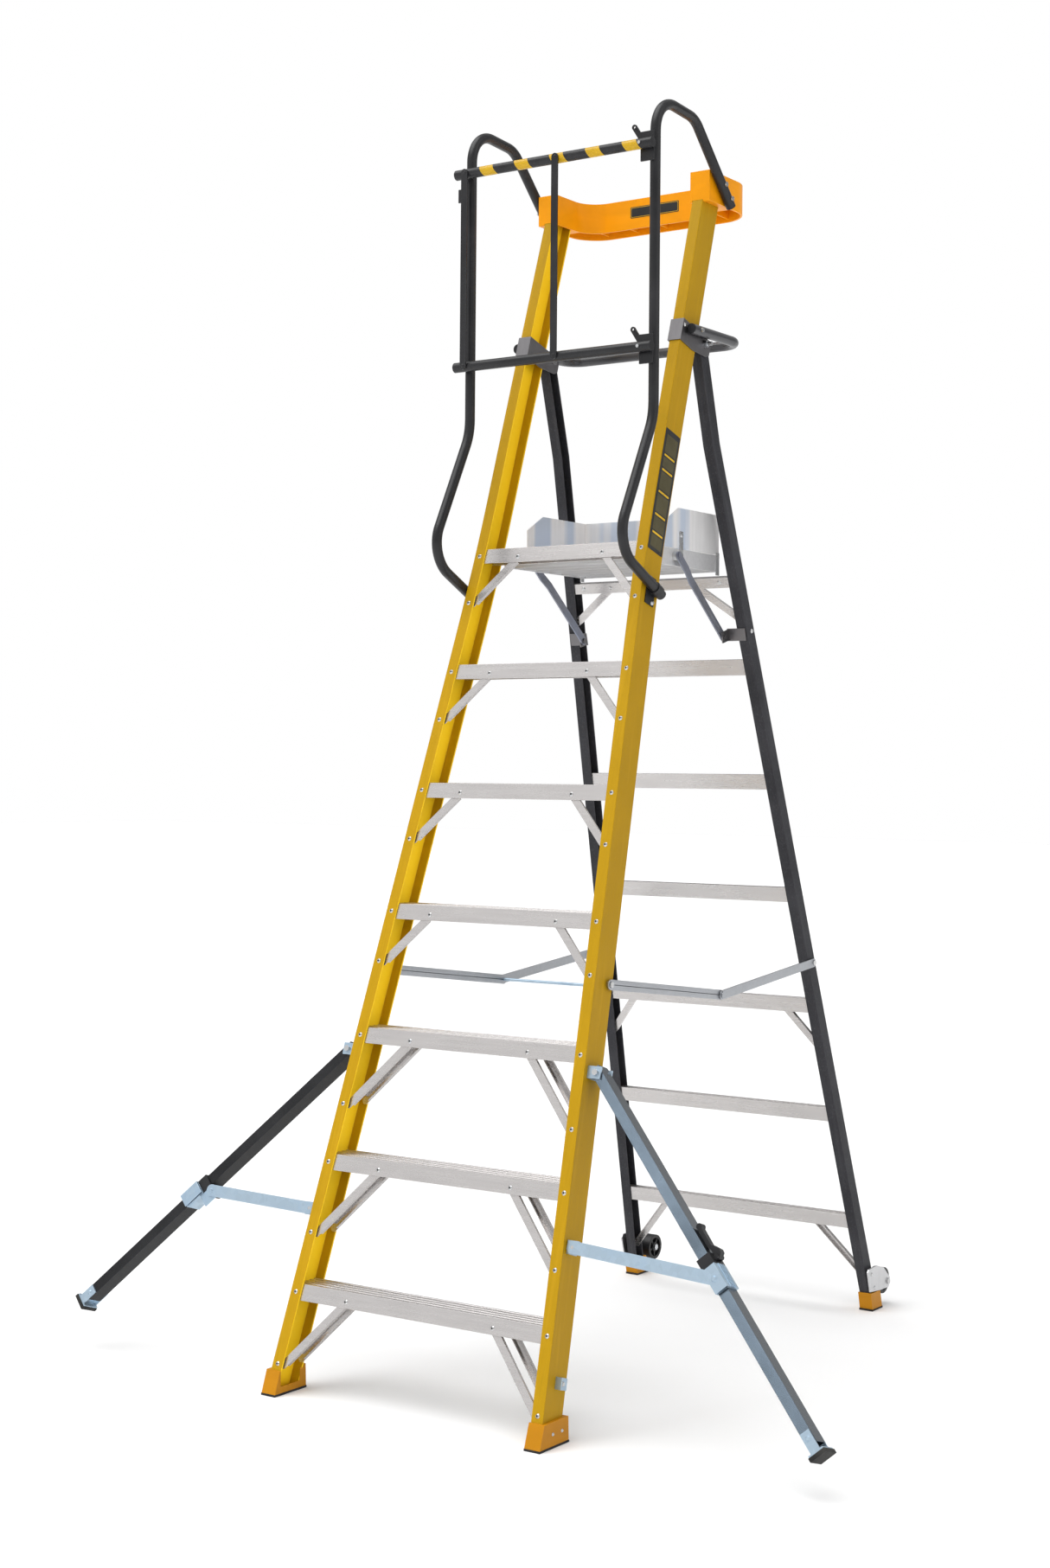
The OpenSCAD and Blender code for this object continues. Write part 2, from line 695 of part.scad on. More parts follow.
module rear_shoes() {
    x1 = rear_half_w(rear_len) + 5;
    x0 = x1 - rear_w - 10;
    foot = hinge_y + hinge_z * tan(rear_lean);
    lean = tan(rear_lean);
    color(yellow_plastic) both() difference() {
        place() plate(x0, x1) polygon([[foot - 28, shoe_low], [foot + 30, shoe_low],
            [foot + 30 - 44 * lean, 49], [foot - 26 - 44 * lean, 49]]);
        on_rear() slab(-rear_d / 2 - 0.3, rear_d / 2 + 0.3)
            rear_strip(-0.3, rear_w + 0.3, 2400, 2640);
    }
    color(yellow_plastic) both() place()
        translate([x0 + 0.5, foot - 27, shoe_low]) cube([x1 - x0 - 1, 56, stile_foot_z - shoe_low - 0.2]);
}
module rear_shoe_pads() {
    x1 = rear_half_w(rear_len) + 6;
    foot = hinge_y + hinge_z * tan(rear_lean);
    color(rubber) both() place()
        translate([x1 - rear_w - 12, foot - 30, 0]) cube([rear_w + 12, 62, shoe_low]);
}

wheel_plate_x = 385.2;
module wheel_plates() {
    color(zinc) place() both() difference() {
        plate(wheel_plate_x, wheel_plate_x + 4) polygon([[1562, 54], [1546, 108], [1552, 116],
            [1600, 119], [1642, 107], [1681, 74], [1673, 49], [1628, 49]]);
        pin_x(wheel_plate_x - 1, wheel_plate_x + 5, wheel_pos[0], wheel_pos[1], 5.05);
    }
}
// axles, and the bolts on the rear stiles and bars
module rear_bolts() {
    color(zinc) both() {
        place() {
            pin_x(wheel_x - 4, wheel_plate_x + 4, wheel_pos[0], wheel_pos[1], 5);
            pin_x(wheel_x - 4, wheel_x - 0.4, wheel_pos[0], wheel_pos[1], 8);
            pin_x(wheel_x + wheel_w + 0.4, wheel_plate_x - 0.05, wheel_pos[0], wheel_pos[1], 9);
            pin_x(wheel_plate_x + 4.05, wheel_plate_x + 8, wheel_pos[0], wheel_pos[1], 8);
            for (q = [[1567, 101], [1586, 63]])
                translate([wheel_plate_x + 4, q[0], q[1]]) rotate([0, 90, 0]) head(5, 3);
        }
        on_rear() {
            // rivets that hold the bars, on the webs and the flange of the platform bar
            for (k = [0:5]) {
                t = rear_t_at(rear_bar_z + k * rear_bar_pitch);
                translate([rear_half_w(t) - 14, rear_d / 2, -t]) rotate([-90, 0, 0]) head(5, 2);
            }
            translate([205, -rear_d / 2 + rear_t, -platform_bar_t]) rotate([90, 0, 0]) head(6, 3);
            translate([122, -rear_d / 2 + rear_t, -platform_bar_t]) rotate([90, 0, 0]) head(5, 3);
            translate([rear_half_w(729) + 0.5, 4, -729]) rotate([0, 90, 0]) head(6, 4);
            // spreader pins
            t = 1616;
            pin_x(rear_half_w(t) + 0.6, arm_rear_x - 0.3, 0, -t, 9);
            pin_x(rear_half_w(t) + 0.6, arm_rear_x + arm_t + 3, 0, -t, pin_r);
            pin_x(arm_rear_x + arm_t + 0.3, arm_rear_x + arm_t + 3.3, 0, -t, 7);
        }
    }
}

// angle brackets on the rear stiles that carry the struts' lower pivots
module strut_brackets() {
    x0 = strut_low_x + strut_t + 0.5;
    h = rear_d / 2;
    color(alu) on_rear() both() {
        difference() {
            union() {
                slab(-h - 3, -h) translate([x0, -748]) square([52, 32]);
                slab(-54, -h) translate([x0, -746]) square([3.5, 28]);
            }
            pin_x(x0 - 1, x0 + 6, -42, -731.5, pin_r + fit);
        }
        pin_x(strut_low_x - 3, x0 + 6, -42, -731.5, pin_r);
        pin_x(strut_low_x - 3.5, strut_low_x - 0.3, -42, -731.5, 7);
    }
}

module wheel() {
    hub_r = 13;
    spokes = 5;
    color(black) place() translate([wheel_x, wheel_pos[0], wheel_pos[1]]) rotate([0, 90, 0])
        difference() {
            union() {
                difference() {
                    cylinder(r = wheel_r, h = wheel_w, $fn = 64);
                    translate([0, 0, -1]) cylinder(r = wheel_r - 9, h = wheel_w + 2, $fn = 64);
                }
                cylinder(r = hub_r, h = wheel_w);
                translate([0, 0, wheel_w / 2 - 2]) cylinder(r = wheel_r - 8, h = 4, $fn = 64);
                for (k = [0:spokes - 1]) rotate(k * 360 / spokes)
                    translate([hub_r - 3, -2.5, 3]) cube([wheel_r - hub_r - 4, 5, wheel_w - 6]);
            }
            translate([0, 0, -1]) cylinder(r = 5.05, h = wheel_w + 2);
        }
}
module right_wheel() { wheel(); }
module left_wheel() { mirror([1, 0, 0]) wheel(); }

// ---- platform ----

module platform_deck() {
    z0 = deck_top - deck_h;
    w = deck_half_w;
    plank = 6;
    color(alu) place() difference() {
        union() {
            translate([-w, deck_front, deck_top - 4]) cube([2 * w, deck_back - deck_front, 4]);
            both() translate([w - deck_wall, deck_front, z0])
                cube([deck_wall, deck_back - deck_front, deck_h]);
            both() plate(w - deck_wall, w)
                translate(deck_pivot) circle(r = 8.5);
            for (y = [deck_front, deck_back - 3]) translate([-w, y, z0]) cube([2 * w, 3, deck_h]);
            // underside stiffeners, and ribs on top
            for (k = [1:plank - 1]) translate([-w, deck_front + k * (deck_back - deck_front) / plank, z0])
                cube([2 * w, 3, deck_h]);
            for (k = [0:17]) translate([-w + 6, deck_front + 10 + k * 19.2, deck_top - 0.5])
                cube([2 * w - 12, 5, 2]);
        }
        pin_x(-w - 5, w + 5, deck_pivot[0], deck_pivot[1], pin_r + fit);
    }
}
toe_front = 775;
module toe_board() {
    w = deck_half_w;
    z0 = deck_top + 1.6;
    color(alu) place() {
        both() plate(w - toe_t, w) polygon([[toe_front, z0], [toe_front, 2052], [845, toe_top],
            [deck_back, toe_top], [deck_back, z0]]);
        translate([-w, deck_back - toe_t, z0]) cube([2 * w, toe_t, toe_top - z0]);
    }
}
// straps that join the toe board to the deck, straps down to the rear bar, and the strut studs
module deck_fittings() {
    w = deck_half_w;
    color(zinc) place() both() {
        plate(w + 0.05, w + 2.5) translate([848, 1958]) square([16, 76]);
        for (z = [1968, 2024]) translate([w + 2.5, 856, z]) rotate([0, 90, 0]) head(5, 2.5);
        plate(w + 0.05, w + 2.5) translate([1028, 1939]) square([15, 57]);
        pin_x(w + 0.05, strut_top_x - gap, strut_top[0], strut_top[1], 11);
    }
}
// flat struts, joggled outward between the deck and the rear stiles
module platform_struts() {
    v = strut_low - strut_top;
    l = norm(v);
    x0 = strut_low_x;
    x1 = strut_top_x;
    color(zinc) place() both() difference() {
        union() {
            translate([0, strut_low[0], strut_low[1]]) rotate([atan2(-v[1], -v[0]), 0, 0])
                translate([0, 0, -strut_w / 2]) linear_extrude(strut_w)
                    polygon([[x0, 0], [x0, l - 84], [x1, l - 52], [x1, l], [x1 + strut_t, l],
                        [x1 + strut_t, l - 51], [x0 + strut_t, l - 83], [x0 + strut_t, 0]]);
            pin_x(x0, x0 + strut_t, strut_low[0], strut_low[1], (strut_w + end_swell) / 2);
            pin_x(x1, x1 + strut_t, strut_top[0], strut_top[1], (strut_w + end_swell) / 2);
            pin_x(x1 + strut_t - 0.5, x1 + strut_t + 3, strut_top[0], strut_top[1], 7);
        }
        pin_x(x0 - 1, x0 + strut_t + 1, strut_low[0], strut_low[1], pin_r + fit);
    }
}

// ---- spreaders ----

module spreader_front_arms() {
    color(zinc) place() both() difference() {
        plate(arm_front_x, arm_front_x + arm_t) bar_shape(spread_front, spread_knuckle, arm_h);
        pin_x(arm_front_x - 1, arm_front_x + arm_t + 1, spread_front[0], spread_front[1], pin_r + fit);
        pin_x(arm_front_x - 1, arm_front_x + arm_t + 1, spread_knuckle[0], spread_knuckle[1],
            pin_r + fit);
    }
}
module spreader_cross_rod() {
    color(zinc) place()
        pin_x(-arm_front_x - arm_t, arm_front_x + arm_t, spread_knuckle[0], spread_knuckle[1], pin_r);
}
module spreader_rear_arms() {
    color(zinc) place() both() difference() {
        union() {
            plate(arm_rear_x, arm_rear_x + arm_t) bar_shape(spread_knuckle, spread_rear, arm_h - 2);
            pin_x(arm_rear_x + arm_t - 0.5, arm_rear_x + arm_t + 3, spread_knuckle[0],
                spread_knuckle[1], 8);
        }
        pin_x(arm_rear_x - 1, arm_rear_x + arm_t + 1, spread_rear[0], spread_rear[1], pin_r + fit);
    }
}

// ---- gate ----

module gate_rail(z) {
    l = gate_rail_right - gate_rail_left;
    color(black) place() {
        difference() {
            translate([gate_rail_left, gate_y, z]) rotate([0, 90, 0]) cylinder(r = tube_r, h = l);
            translate([gate_rail_left - 1, gate_y, z]) rotate([0, 90, 0])
                cylinder(r = tube_r - tube_wall, h = l + 2);
            pin_y(gate_y - 20, gate_y + 20, gate_pivot_x, z, pin_r + fit);
        }
        for (q = [[gate_rail_left - 3, gate_rail_left - 0.02],
            [gate_rail_right + 0.02, gate_rail_right + 3]])
            pin_x(q[0], q[1], gate_y, z, tube_r);
    }
}
module gate_top_rail() { gate_rail(gate_top_z); }
module gate_bottom_rail() { gate_rail(gate_bottom_z); }

gate_bar_y = gate_y - 12.5 - 0.5 - 4;
module gate_bar(x) {
    color(black) place() {
        slab(gate_bar_y, gate_bar_y + gate_bar_t)
            bar_shape([x, gate_bottom_z], [x, gate_top_z], gate_bar_w);
        for (z = [gate_bottom_z, gate_top_z])
            translate([x, gate_bar_y, z]) rotate([90, 0, 0]) head(5, 3);
    }
}
latch_x = gate_bars_x[0] - 1;
latch_z = 2874;
latch_pin_r = 3;
module gate_end_bar() {
    gate_bar(gate_bars_x[0]);
    color(black) place() pin_y(gate_bar_y + 1, gate_bar_y + gate_bar_t + 6, latch_x, latch_z, latch_pin_r);
}
module gate_middle_bar() { gate_bar(gate_bars_x[1]); }

module gate_latch() {
    y0 = gate_bar_y + gate_bar_t + gap;
    color(black) place() difference() {
        slab(y0, y0 + 4) {
            translate([latch_x - 19, latch_z - 9]) square([20, 20]);
            translate([latch_x - 19, latch_z - 22]) square([8, 16]);
            translate([latch_x, latch_z]) circle(r = 6);
        }
        pin_y(gate_bar_y, gate_bar_y + 20, latch_x, latch_z, latch_pin_r + fit);
    }
}

// ---- stabilisers ----

// places a leg's own frame: origin at its pivot, x away from the stile, y depth, z down the leg
$leg_angle = right_leg_angle;
module on_leg() {
    on_front() translate([leg_pivot[0], 0, leg_pivot[1]]) rotate([0, -$leg_angle, 0])
        mirror([0, 0, 1]) children();
}
// outer ends of the brace bars: behind the right sleeve's front wall, and on the left sleeve's lug
right_brace_end = leg_pivot + sleeve_at * [sin(right_leg_angle), -cos(right_leg_angle)];
left_brace_end = [681, 439];

module outrigger_leg() {
    w = leg_w;
    d0 = leg_mid_d - leg_d / 2;
    color(black) difference() {
        on_leg() difference() {
            translate([-w / 2, d0, -13.5]) cube([w, leg_d, leg_len + 13.5]);
            translate([-w / 2 + 2, d0 + 2, -20]) cube([w - 4, leg_d - 4, leg_len + 40]);
        }
        on_front() pin_y(0, 100, leg_pivot[0], leg_pivot[1], pin_r + fit);
    }
}
// U clip around the tube's end that carries the pad
module outrigger_foot() {
    w = leg_w;
    d0 = leg_mid_d - leg_d / 2;
    color(zinc) on_leg() {
        for (d = [d0 - 3.1, d0 + leg_d + 0.1])
            translate([-w / 2 + 1, d, leg_len - 28]) cube([w - 2, 3, 46]);
        translate([-w / 2 - 6, d0 - 3.1, leg_len + 16]) cube([w + 12, leg_d + 6.2, 4]);
        translate([0, d0 - 3.1, leg_len - 12]) rotate([90, 0, 0]) head(6, 3);
    }
}
module outrigger_pad() {
    d0 = leg_mid_d - leg_d / 2;
    color(rubber) on_leg()
        translate([-leg_w / 2 - 8, d0 - 5, leg_len + 20]) cube([leg_w + 16, leg_d + 10, 9]);
}
module outrigger_sleeve(lug) {
    d0 = leg_mid_d - leg_d / 2;
    w = leg_w / 2 + gap;
    pocket = brace_bar_w / 2 + 1.8;
    out = pocket + sleeve_wall;
    front = brace_bar_d - gap - sleeve_wall;
    back = d0 + leg_d + gap + 2;
    z0 = sleeve_at - sleeve_len / 2;
    color(zinc) on_leg() {
        difference() {
            union() {
                translate([-w - 1.6, front, z0]) cube([w + 1.6 + out, back - front, sleeve_len]);
                for (d = [d0 + 6, d0 + 16, d0 + 26])
                    translate([out - 1, d, z0]) cube([3, 4, sleeve_len]);
            }
            translate([-w, d0 - gap, z0 - 1]) cube([2 * w, leg_d + 2 * gap, sleeve_len + 2]);
            translate([-out - 5, brace_bar_d - gap, z0 - 1])
                cube([out + 5 + pocket, brace_bar_t + 2 * gap, sleeve_len + 2]);
        }
        // the head of the brace's bolt, or a lug beside the collar that the brace lies on
        if (lug) {
            y0 = brace_bar_d + brace_bar_t + 1;
            translate([-50, y0, z0 - 34]) cube([32, 3, 46]);
            translate([-19, y0, z0 + 0.5]) cube([8, 3, 11.5]);
        } else
            translate([0, front - 0.02, sleeve_at]) rotate([90, 0, 0]) head(7, 4);
    }
}
// the locking collar above the sleeve; its cam lever sits on the side given by side
lever_pin_r = 3;
function lever_x(side) = side * (leg_w / 2 + gap + 10);
function collar_low() = sleeve_at - sleeve_len / 2 - collar_len - 0.2;
module outrigger_collar(side) {
    d0 = leg_mid_d - leg_d / 2;
    w = leg_w / 2 + gap;
    pin_z = collar_low() + 14;
    color(black) on_leg() difference() {
        union() {
            translate([-w - 4, d0 - 4, collar_low()]) cube([2 * w + 8, leg_d + 8, collar_len]);
            for (d = [leg_mid_d - 14, leg_mid_d + 9]) {
                translate([side > 0 ? w : -w - 10, d, pin_z - 5]) cube([10, 5, 10]);
                translate([lever_x(side), d, pin_z]) rotate([-90, 0, 0]) cylinder(r = 5, h = 5);
            }
        }
        translate([-w, d0 - gap, collar_low() - 1])
            cube([2 * w, leg_d + 2 * gap, collar_len + 2]);
    }
    color(black) on_leg() translate([lever_x(side), leg_mid_d - 12, pin_z])
        rotate([-90, 0, 0]) cylinder(r = lever_pin_r, h = 24);
}
// the cam lever: its pin at the origin, its arm along +x, turned up from the leg's x axis by open;
// closed at 90 degrees it lies along the leg, with its fin away from the leg
module outrigger_lever(side, open) {
    color(black) on_leg() translate([lever_x(side), leg_mid_d - 8.5, collar_low() + 14])
        rotate([-90, 0, 0]) rotate(open) scale([1, side, 1]) difference() {
            linear_extrude(17) {
                circle(r = 5.6);
                bar_shape([0, 0], [20, 0], 9);
                bar_shape([20, 0], [32, 3.6], 9);
                bar_shape([32, 3.6], [78, 2.6], 9);
                translate([78, 1]) circle(r = 7);
                polygon([[-4, -3], [3, -12], [11, -13], [27, -4], [27, 0]]);
            }
            translate([0, 0, -1]) cylinder(r = lever_pin_r + fit, h = 20);
        }
}
// flat bar, its lower corner at the stile cut off so that it clears it; e is its outer end
module outrigger_brace(e, bolt) {
    v = e - brace_pivot;
    half_w = brace_bar_w / 2;
    square_end = -13.5;
    cut_corner = 8.5;
    color(zinc) on_front() {
        difference() {
            union() {
                slab(brace_bar_d, brace_bar_d + brace_bar_t)
                    translate(brace_pivot) rotate(atan2(v[1], v[0]))
                        polygon([[square_end, half_w], [norm(v), half_w], [norm(v), -half_w],
                            [square_end + cut_corner, -half_w], [square_end, cut_corner - half_w]]);
                pin_y(brace_bar_d, brace_bar_d + brace_bar_t, e[0], e[1], half_w + end_swell / 2);
            }
            pin_y(0, 40, brace_pivot[0], brace_pivot[1], pin_r + fit);
        }
        if (bolt) translate([e[0], brace_bar_d + 0.5, e[1]]) rotate([90, 0, 0]) head(6, 4);
    }
}

module left() {
    $leg_angle = left_leg_angle;
    mirror([1, 0, 0]) children();
}
module left_outrigger_leg() { left() outrigger_leg(); }
module left_outrigger_foot() { left() outrigger_foot(); }
module left_outrigger_pad() { left() outrigger_pad(); }
module left_outrigger_sleeve() { left() outrigger_sleeve(true); }
module left_outrigger_collar() { left() outrigger_collar(-1); }
module left_outrigger_lever() { left() outrigger_lever(-1, 137); }
module left_outrigger_brace() { left() outrigger_brace(left_brace_end, true); }
module right_outrigger_leg() { outrigger_leg(); }
module right_outrigger_foot() { outrigger_foot(); }
module right_outrigger_pad() { outrigger_pad(); }
module right_outrigger_sleeve() { outrigger_sleeve(false); }
module right_outrigger_collar() { outrigger_collar(1); }
module right_outrigger_lever() { outrigger_lever(1, 90); }
module right_outrigger_brace() { outrigger_brace(right_brace_end, false); }

left_front_stile();
right_front_stile();
lower_treads();
upper_treads();
platform_tread();
deck_hinge_brackets();
tread_braces();
tread_rivets();
top_yoke();
left_handrail();
right_handrail();
handrail_clamps();
tube_end_caps();
frame_bolts();
hinge_brackets();
mid_rail();
front_shoes();
front_shoe_pads();
outrigger_brackets();
pivot_pins();
gate_hinge_plates();
left_rear_stile();
right_rear_stile();
rear_bars();
rear_platform_bar();
rear_braces();
rear_shoes();
rear_shoe_pads();
wheel_plates();
rear_bolts();
strut_brackets();
left_wheel();
right_wheel();
platform_deck();
toe_board();
deck_fittings();
platform_struts();
spreader_front_arms();
spreader_cross_rod();
spreader_rear_arms();
gate_top_rail();
gate_bottom_rail();
gate_end_bar();
gate_middle_bar();
gate_latch();
left_outrigger_leg();
left_outrigger_foot();
left_outrigger_pad();
left_outrigger_sleeve();
left_outrigger_collar();
left_outrigger_lever();
left_outrigger_brace();
right_outrigger_leg();
right_outrigger_foot();
right_outrigger_pad();
right_outrigger_sleeve();
right_outrigger_collar();
right_outrigger_lever();
right_outrigger_brace();
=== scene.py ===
"""Looks of a glass-fibre platform step ladder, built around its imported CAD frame."""

import json
import math

import bmesh
import bpy
from mathutils import Matrix, Vector
from mathutils.bvhtree import BVHTree


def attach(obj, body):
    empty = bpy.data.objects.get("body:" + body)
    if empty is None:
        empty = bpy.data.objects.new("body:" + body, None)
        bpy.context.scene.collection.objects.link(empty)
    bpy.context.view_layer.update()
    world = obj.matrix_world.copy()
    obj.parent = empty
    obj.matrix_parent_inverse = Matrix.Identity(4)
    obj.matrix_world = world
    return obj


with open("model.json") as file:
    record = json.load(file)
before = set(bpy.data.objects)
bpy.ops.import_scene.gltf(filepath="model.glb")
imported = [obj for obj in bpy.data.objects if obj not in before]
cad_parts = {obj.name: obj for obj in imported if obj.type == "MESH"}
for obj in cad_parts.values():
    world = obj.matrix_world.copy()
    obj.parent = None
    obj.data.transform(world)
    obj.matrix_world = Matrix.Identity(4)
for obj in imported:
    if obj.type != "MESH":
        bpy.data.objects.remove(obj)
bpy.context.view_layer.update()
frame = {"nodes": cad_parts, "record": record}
nodes = frame["nodes"]

# how far the stiles of the two frames lean from upright
FRONT_LEAN = math.radians(17.35)
REAR_LEAN = math.radians(15.85)
# the front stiles' front edges meet the floor this far in front of the frame's origin, in metres
Y_MID = 0.8445


# ---- small shader helpers ----


def calc(tree, kind, *values):
    """A Math node whose inputs are numbers or the outputs of other nodes."""
    made = tree.nodes.new("ShaderNodeMath")
    made.operation = kind
    for slot, value in zip(made.inputs, values):
        if isinstance(value, (int, float)):
            slot.default_value = value
        else:
            tree.links.new(value, slot)
    return made.outputs[0]


class Shader:
    """Builds one principled material node by node."""

    def __init__(self, name):
        self.mat = bpy.data.materials.new(name)
        self.mat.use_nodes = True
        self.tree = self.mat.node_tree
        self.bsdf = self.tree.nodes["Principled BSDF"]
        self.coords = self.tree.nodes.new("ShaderNodeTexCoord").outputs["Object"]

    def node(self, kind, **settings):
        made = self.tree.nodes.new(kind)
        for key, value in settings.items():
            setattr(made, key, value)
        return made

    def link(self, a, b):
        self.tree.links.new(a, b)

    def mapped(self, scale=(1, 1, 1), rotation=(0, 0, 0)):
        """The object's own coordinates in metres, first turned and then stretched."""
        turned = self.node("ShaderNodeMapping")
        turned.inputs["Rotation"].default_value = rotation
        self.link(self.coords, turned.inputs["Vector"])
        stretched = self.node("ShaderNodeMapping")
        stretched.inputs["Scale"].default_value = scale
        self.link(turned.outputs["Vector"], stretched.inputs["Vector"])
        return stretched.outputs["Vector"]

    def noise(self, vector, scale, detail=4.0, rough=0.55, distortion=0.0):
        made = self.node("ShaderNodeTexNoise")
        made.inputs["Scale"].default_value = scale
        made.inputs["Detail"].default_value = detail
        made.inputs["Roughness"].default_value = rough
        made.inputs["Distortion"].default_value = distortion
        self.link(vector, made.inputs["Vector"])
        return made.outputs["Fac"]

    def cells(self, vector, scale):
        """A different random number in each cell of a crystal-like pattern."""
        made = self.node("ShaderNodeTexVoronoi")
        made.inputs["Scale"].default_value = scale
        self.link(vector, made.inputs["Vector"])
        return self.split(made.outputs["Color"])[0]

    def span(self, value, low, high, to_low=0.0, to_high=1.0):
        """Stretches the values from low to high over the ones from to_low to to_high."""
        made = self.node("ShaderNodeMapRange")
        made.inputs["From Min"].default_value = low
        made.inputs["From Max"].default_value = high
        made.inputs["To Min"].default_value = to_low
        made.inputs["To Max"].default_value = to_high
        self.link(value, made.inputs["Value"])
        return made.outputs["Result"]

    def math(self, kind, *values):
        return calc(self.tree, kind, *values)

    def mix(self, factor, a, b):
        """Colour a where factor is 0 and b where it is 1."""
        made = self.node("ShaderNodeMix", data_type="RGBA")
        for name, value in (("A", a), ("B", b)):
            slot = [s for s in made.inputs if s.name == name and s.type == "RGBA"][0]
            if isinstance(value, tuple):
                slot.default_value = (*value, 1)
            else:
                self.link(value, slot)
        factor_slot = [s for s in made.inputs if s.name == "Factor" and s.type == "VALUE"][0]
        self.link(factor, factor_slot)
        return [s for s in made.outputs if s.type == "RGBA"][0]

    def edges(self, radius):
        """1 on corners of the shape and 0 on its flat and gently curved parts."""
        flat_cosine, corner_cosine = 0.98, 0.82
        rounded = self.node("ShaderNodeBevel", samples=4)
        rounded.inputs["Radius"].default_value = radius
        flat = self.node("ShaderNodeNewGeometry").outputs["True Normal"]
        agree = self.node("ShaderNodeVectorMath", operation="DOT_PRODUCT")
        self.link(rounded.outputs["Normal"], agree.inputs[0])
        self.link(flat, agree.inputs[1])
        return self.span(agree.outputs["Value"], flat_cosine, corner_cosine)

    def facing_x(self):
        """1 where the surface faces +X, -1 where it faces -X."""
        return self.split(self.node("ShaderNodeNewGeometry").outputs["True Normal"])[0]

    def split(self, vector):
        made = self.node("ShaderNodeSeparateXYZ")
        self.link(vector, made.inputs[0])
        return made.outputs

    def colour(self, value):
        self.link(value, self.bsdf.inputs["Base Color"])

    def rough(self, value):
        self.link(value, self.bsdf.inputs["Roughness"])

    def bump(self, *heights):
        """Each height is (value, strength, distance in metres), finest last."""
        normal = None
        for value, strength, distance in heights:
            made = self.node("ShaderNodeBump")
            made.inputs["Strength"].default_value = strength
            made.inputs["Distance"].default_value = distance
            self.link(value, made.inputs["Height"])
            if normal:
                self.link(normal, made.inputs["Normal"])
            normal = made.outputs["Normal"]
        self.link(normal, self.bsdf.inputs["Normal"])

    def set(self, **values):
        for key, value in values.items():
            self.bsdf.inputs[key.replace("_", " ")].default_value = value
        return self.mat


def lighter(colour, by):
    lift = 0.01  # so that black gets paler too
    return tuple(min(1, c * (1 + by) + lift) for c in colour)


def darker(colour, by):
    return tuple(c * (1 - by) for c in colour)


def pultruded(name, lean, deep, light, gloss, streak, speck, painted_light_side=0):
    """Glass-fibre profile: fine streaks along the pull, cloudy resin, fibre specks, edges painted
    paler, partly worn and partly a painted highlight.
    The web's inside, which faces along X by the sign of the last argument, is painted paler:
    painted light in place of the light that reaches it."""
    s = Shader(name)
    pulled = s.mapped(scale=(1, 1, 0.03), rotation=(lean, 0, 0))
    fibres = s.noise(pulled, 420, 3, 0.6)
    bands = s.noise(pulled, 70, 2, 0.5)
    clouds = s.noise(s.mapped(), 7, 3)
    specks = s.noise(s.mapped(scale=(1, 1, 0.6)), 330, 4, 0.75)
    base = s.mix(s.span(clouds, 0.3, 0.7), deep, light)
    base = s.mix(s.span(bands, 0.55, 0.75, 0, streak), base, lighter(light, 0.22))
    base = s.mix(s.span(fibres, 0.44, 0.24, 0, streak), base, darker(deep, 0.4))
    base = s.mix(s.span(specks, 0.56, 0.72, 0, speck), base, lighter(light, 1.4))
    # paler edges: partly worn resin, partly a painted highlight
    base = s.mix(s.math("MULTIPLY", s.edges(0.0022), 0.55), base, lighter(light, 0.55))
    # painted light: the web's inside, facing the way of X given by the last argument, is painted
    # paler
    if painted_light_side:
        painted_light_inside = s.span(s.math("MULTIPLY", s.facing_x(), painted_light_side), 0.8, 0.95)
        base = s.mix(s.math("MULTIPLY", painted_light_inside, 0.85), base, lighter(light, 1.4))
    s.colour(base)
    unevenness = s.math("ADD", fibres, s.math("MULTIPLY", clouds, 0.5))
    s.rough(s.span(unevenness, 0.4, 1.1, gloss, gloss + 0.16))
    s.bump((fibres, 0.20, 0.0004), (specks, 0.16, 0.0003))
    return s.set(Specular_IOR_Level=0.16)


def stile_yellow(name, painted_light_side):
    # the last argument picks which way of X takes the painted light on the web's inside
    return pultruded(name, FRONT_LEAN, darker(YELLOW, 0.08), YELLOW, 0.40, 0.30, 0.05, painted_light_side)


def moulded(name, deep, light, gloss, grain=0.08, shine=0.35):
    """Injection-moulded plastic: slight flow marks, fine grain, scuffs, paler edges that are partly
    rubbed and partly a painted highlight.
    """
    s = Shader(name)
    flow = s.noise(s.mapped(scale=(1, 1, 2.2)), 9, 2, 0.4, 0.8)
    grit = s.noise(s.mapped(), 1300, 2)
    scuff = s.noise(s.mapped(scale=(1, 3, 1)), 60, 5, 0.7)
    base = s.mix(s.span(flow, 0.35, 0.65), deep, light)
    base = s.mix(s.span(scuff, 0.62, 0.80, 0, 0.25), base, lighter(light, 0.25))
    # paler edges: partly rubbed plastic, partly a painted highlight
    base = s.mix(s.math("MULTIPLY", s.edges(0.0018), 0.4), base, lighter(light, 0.4))
    s.colour(base)
    s.rough(s.span(scuff, 0.3, 0.8, gloss, gloss + 0.2))
    s.bump((flow, 0.05, 0.001), (grit, grain, 0.0003))
    return s.set(Specular_IOR_Level=shine)


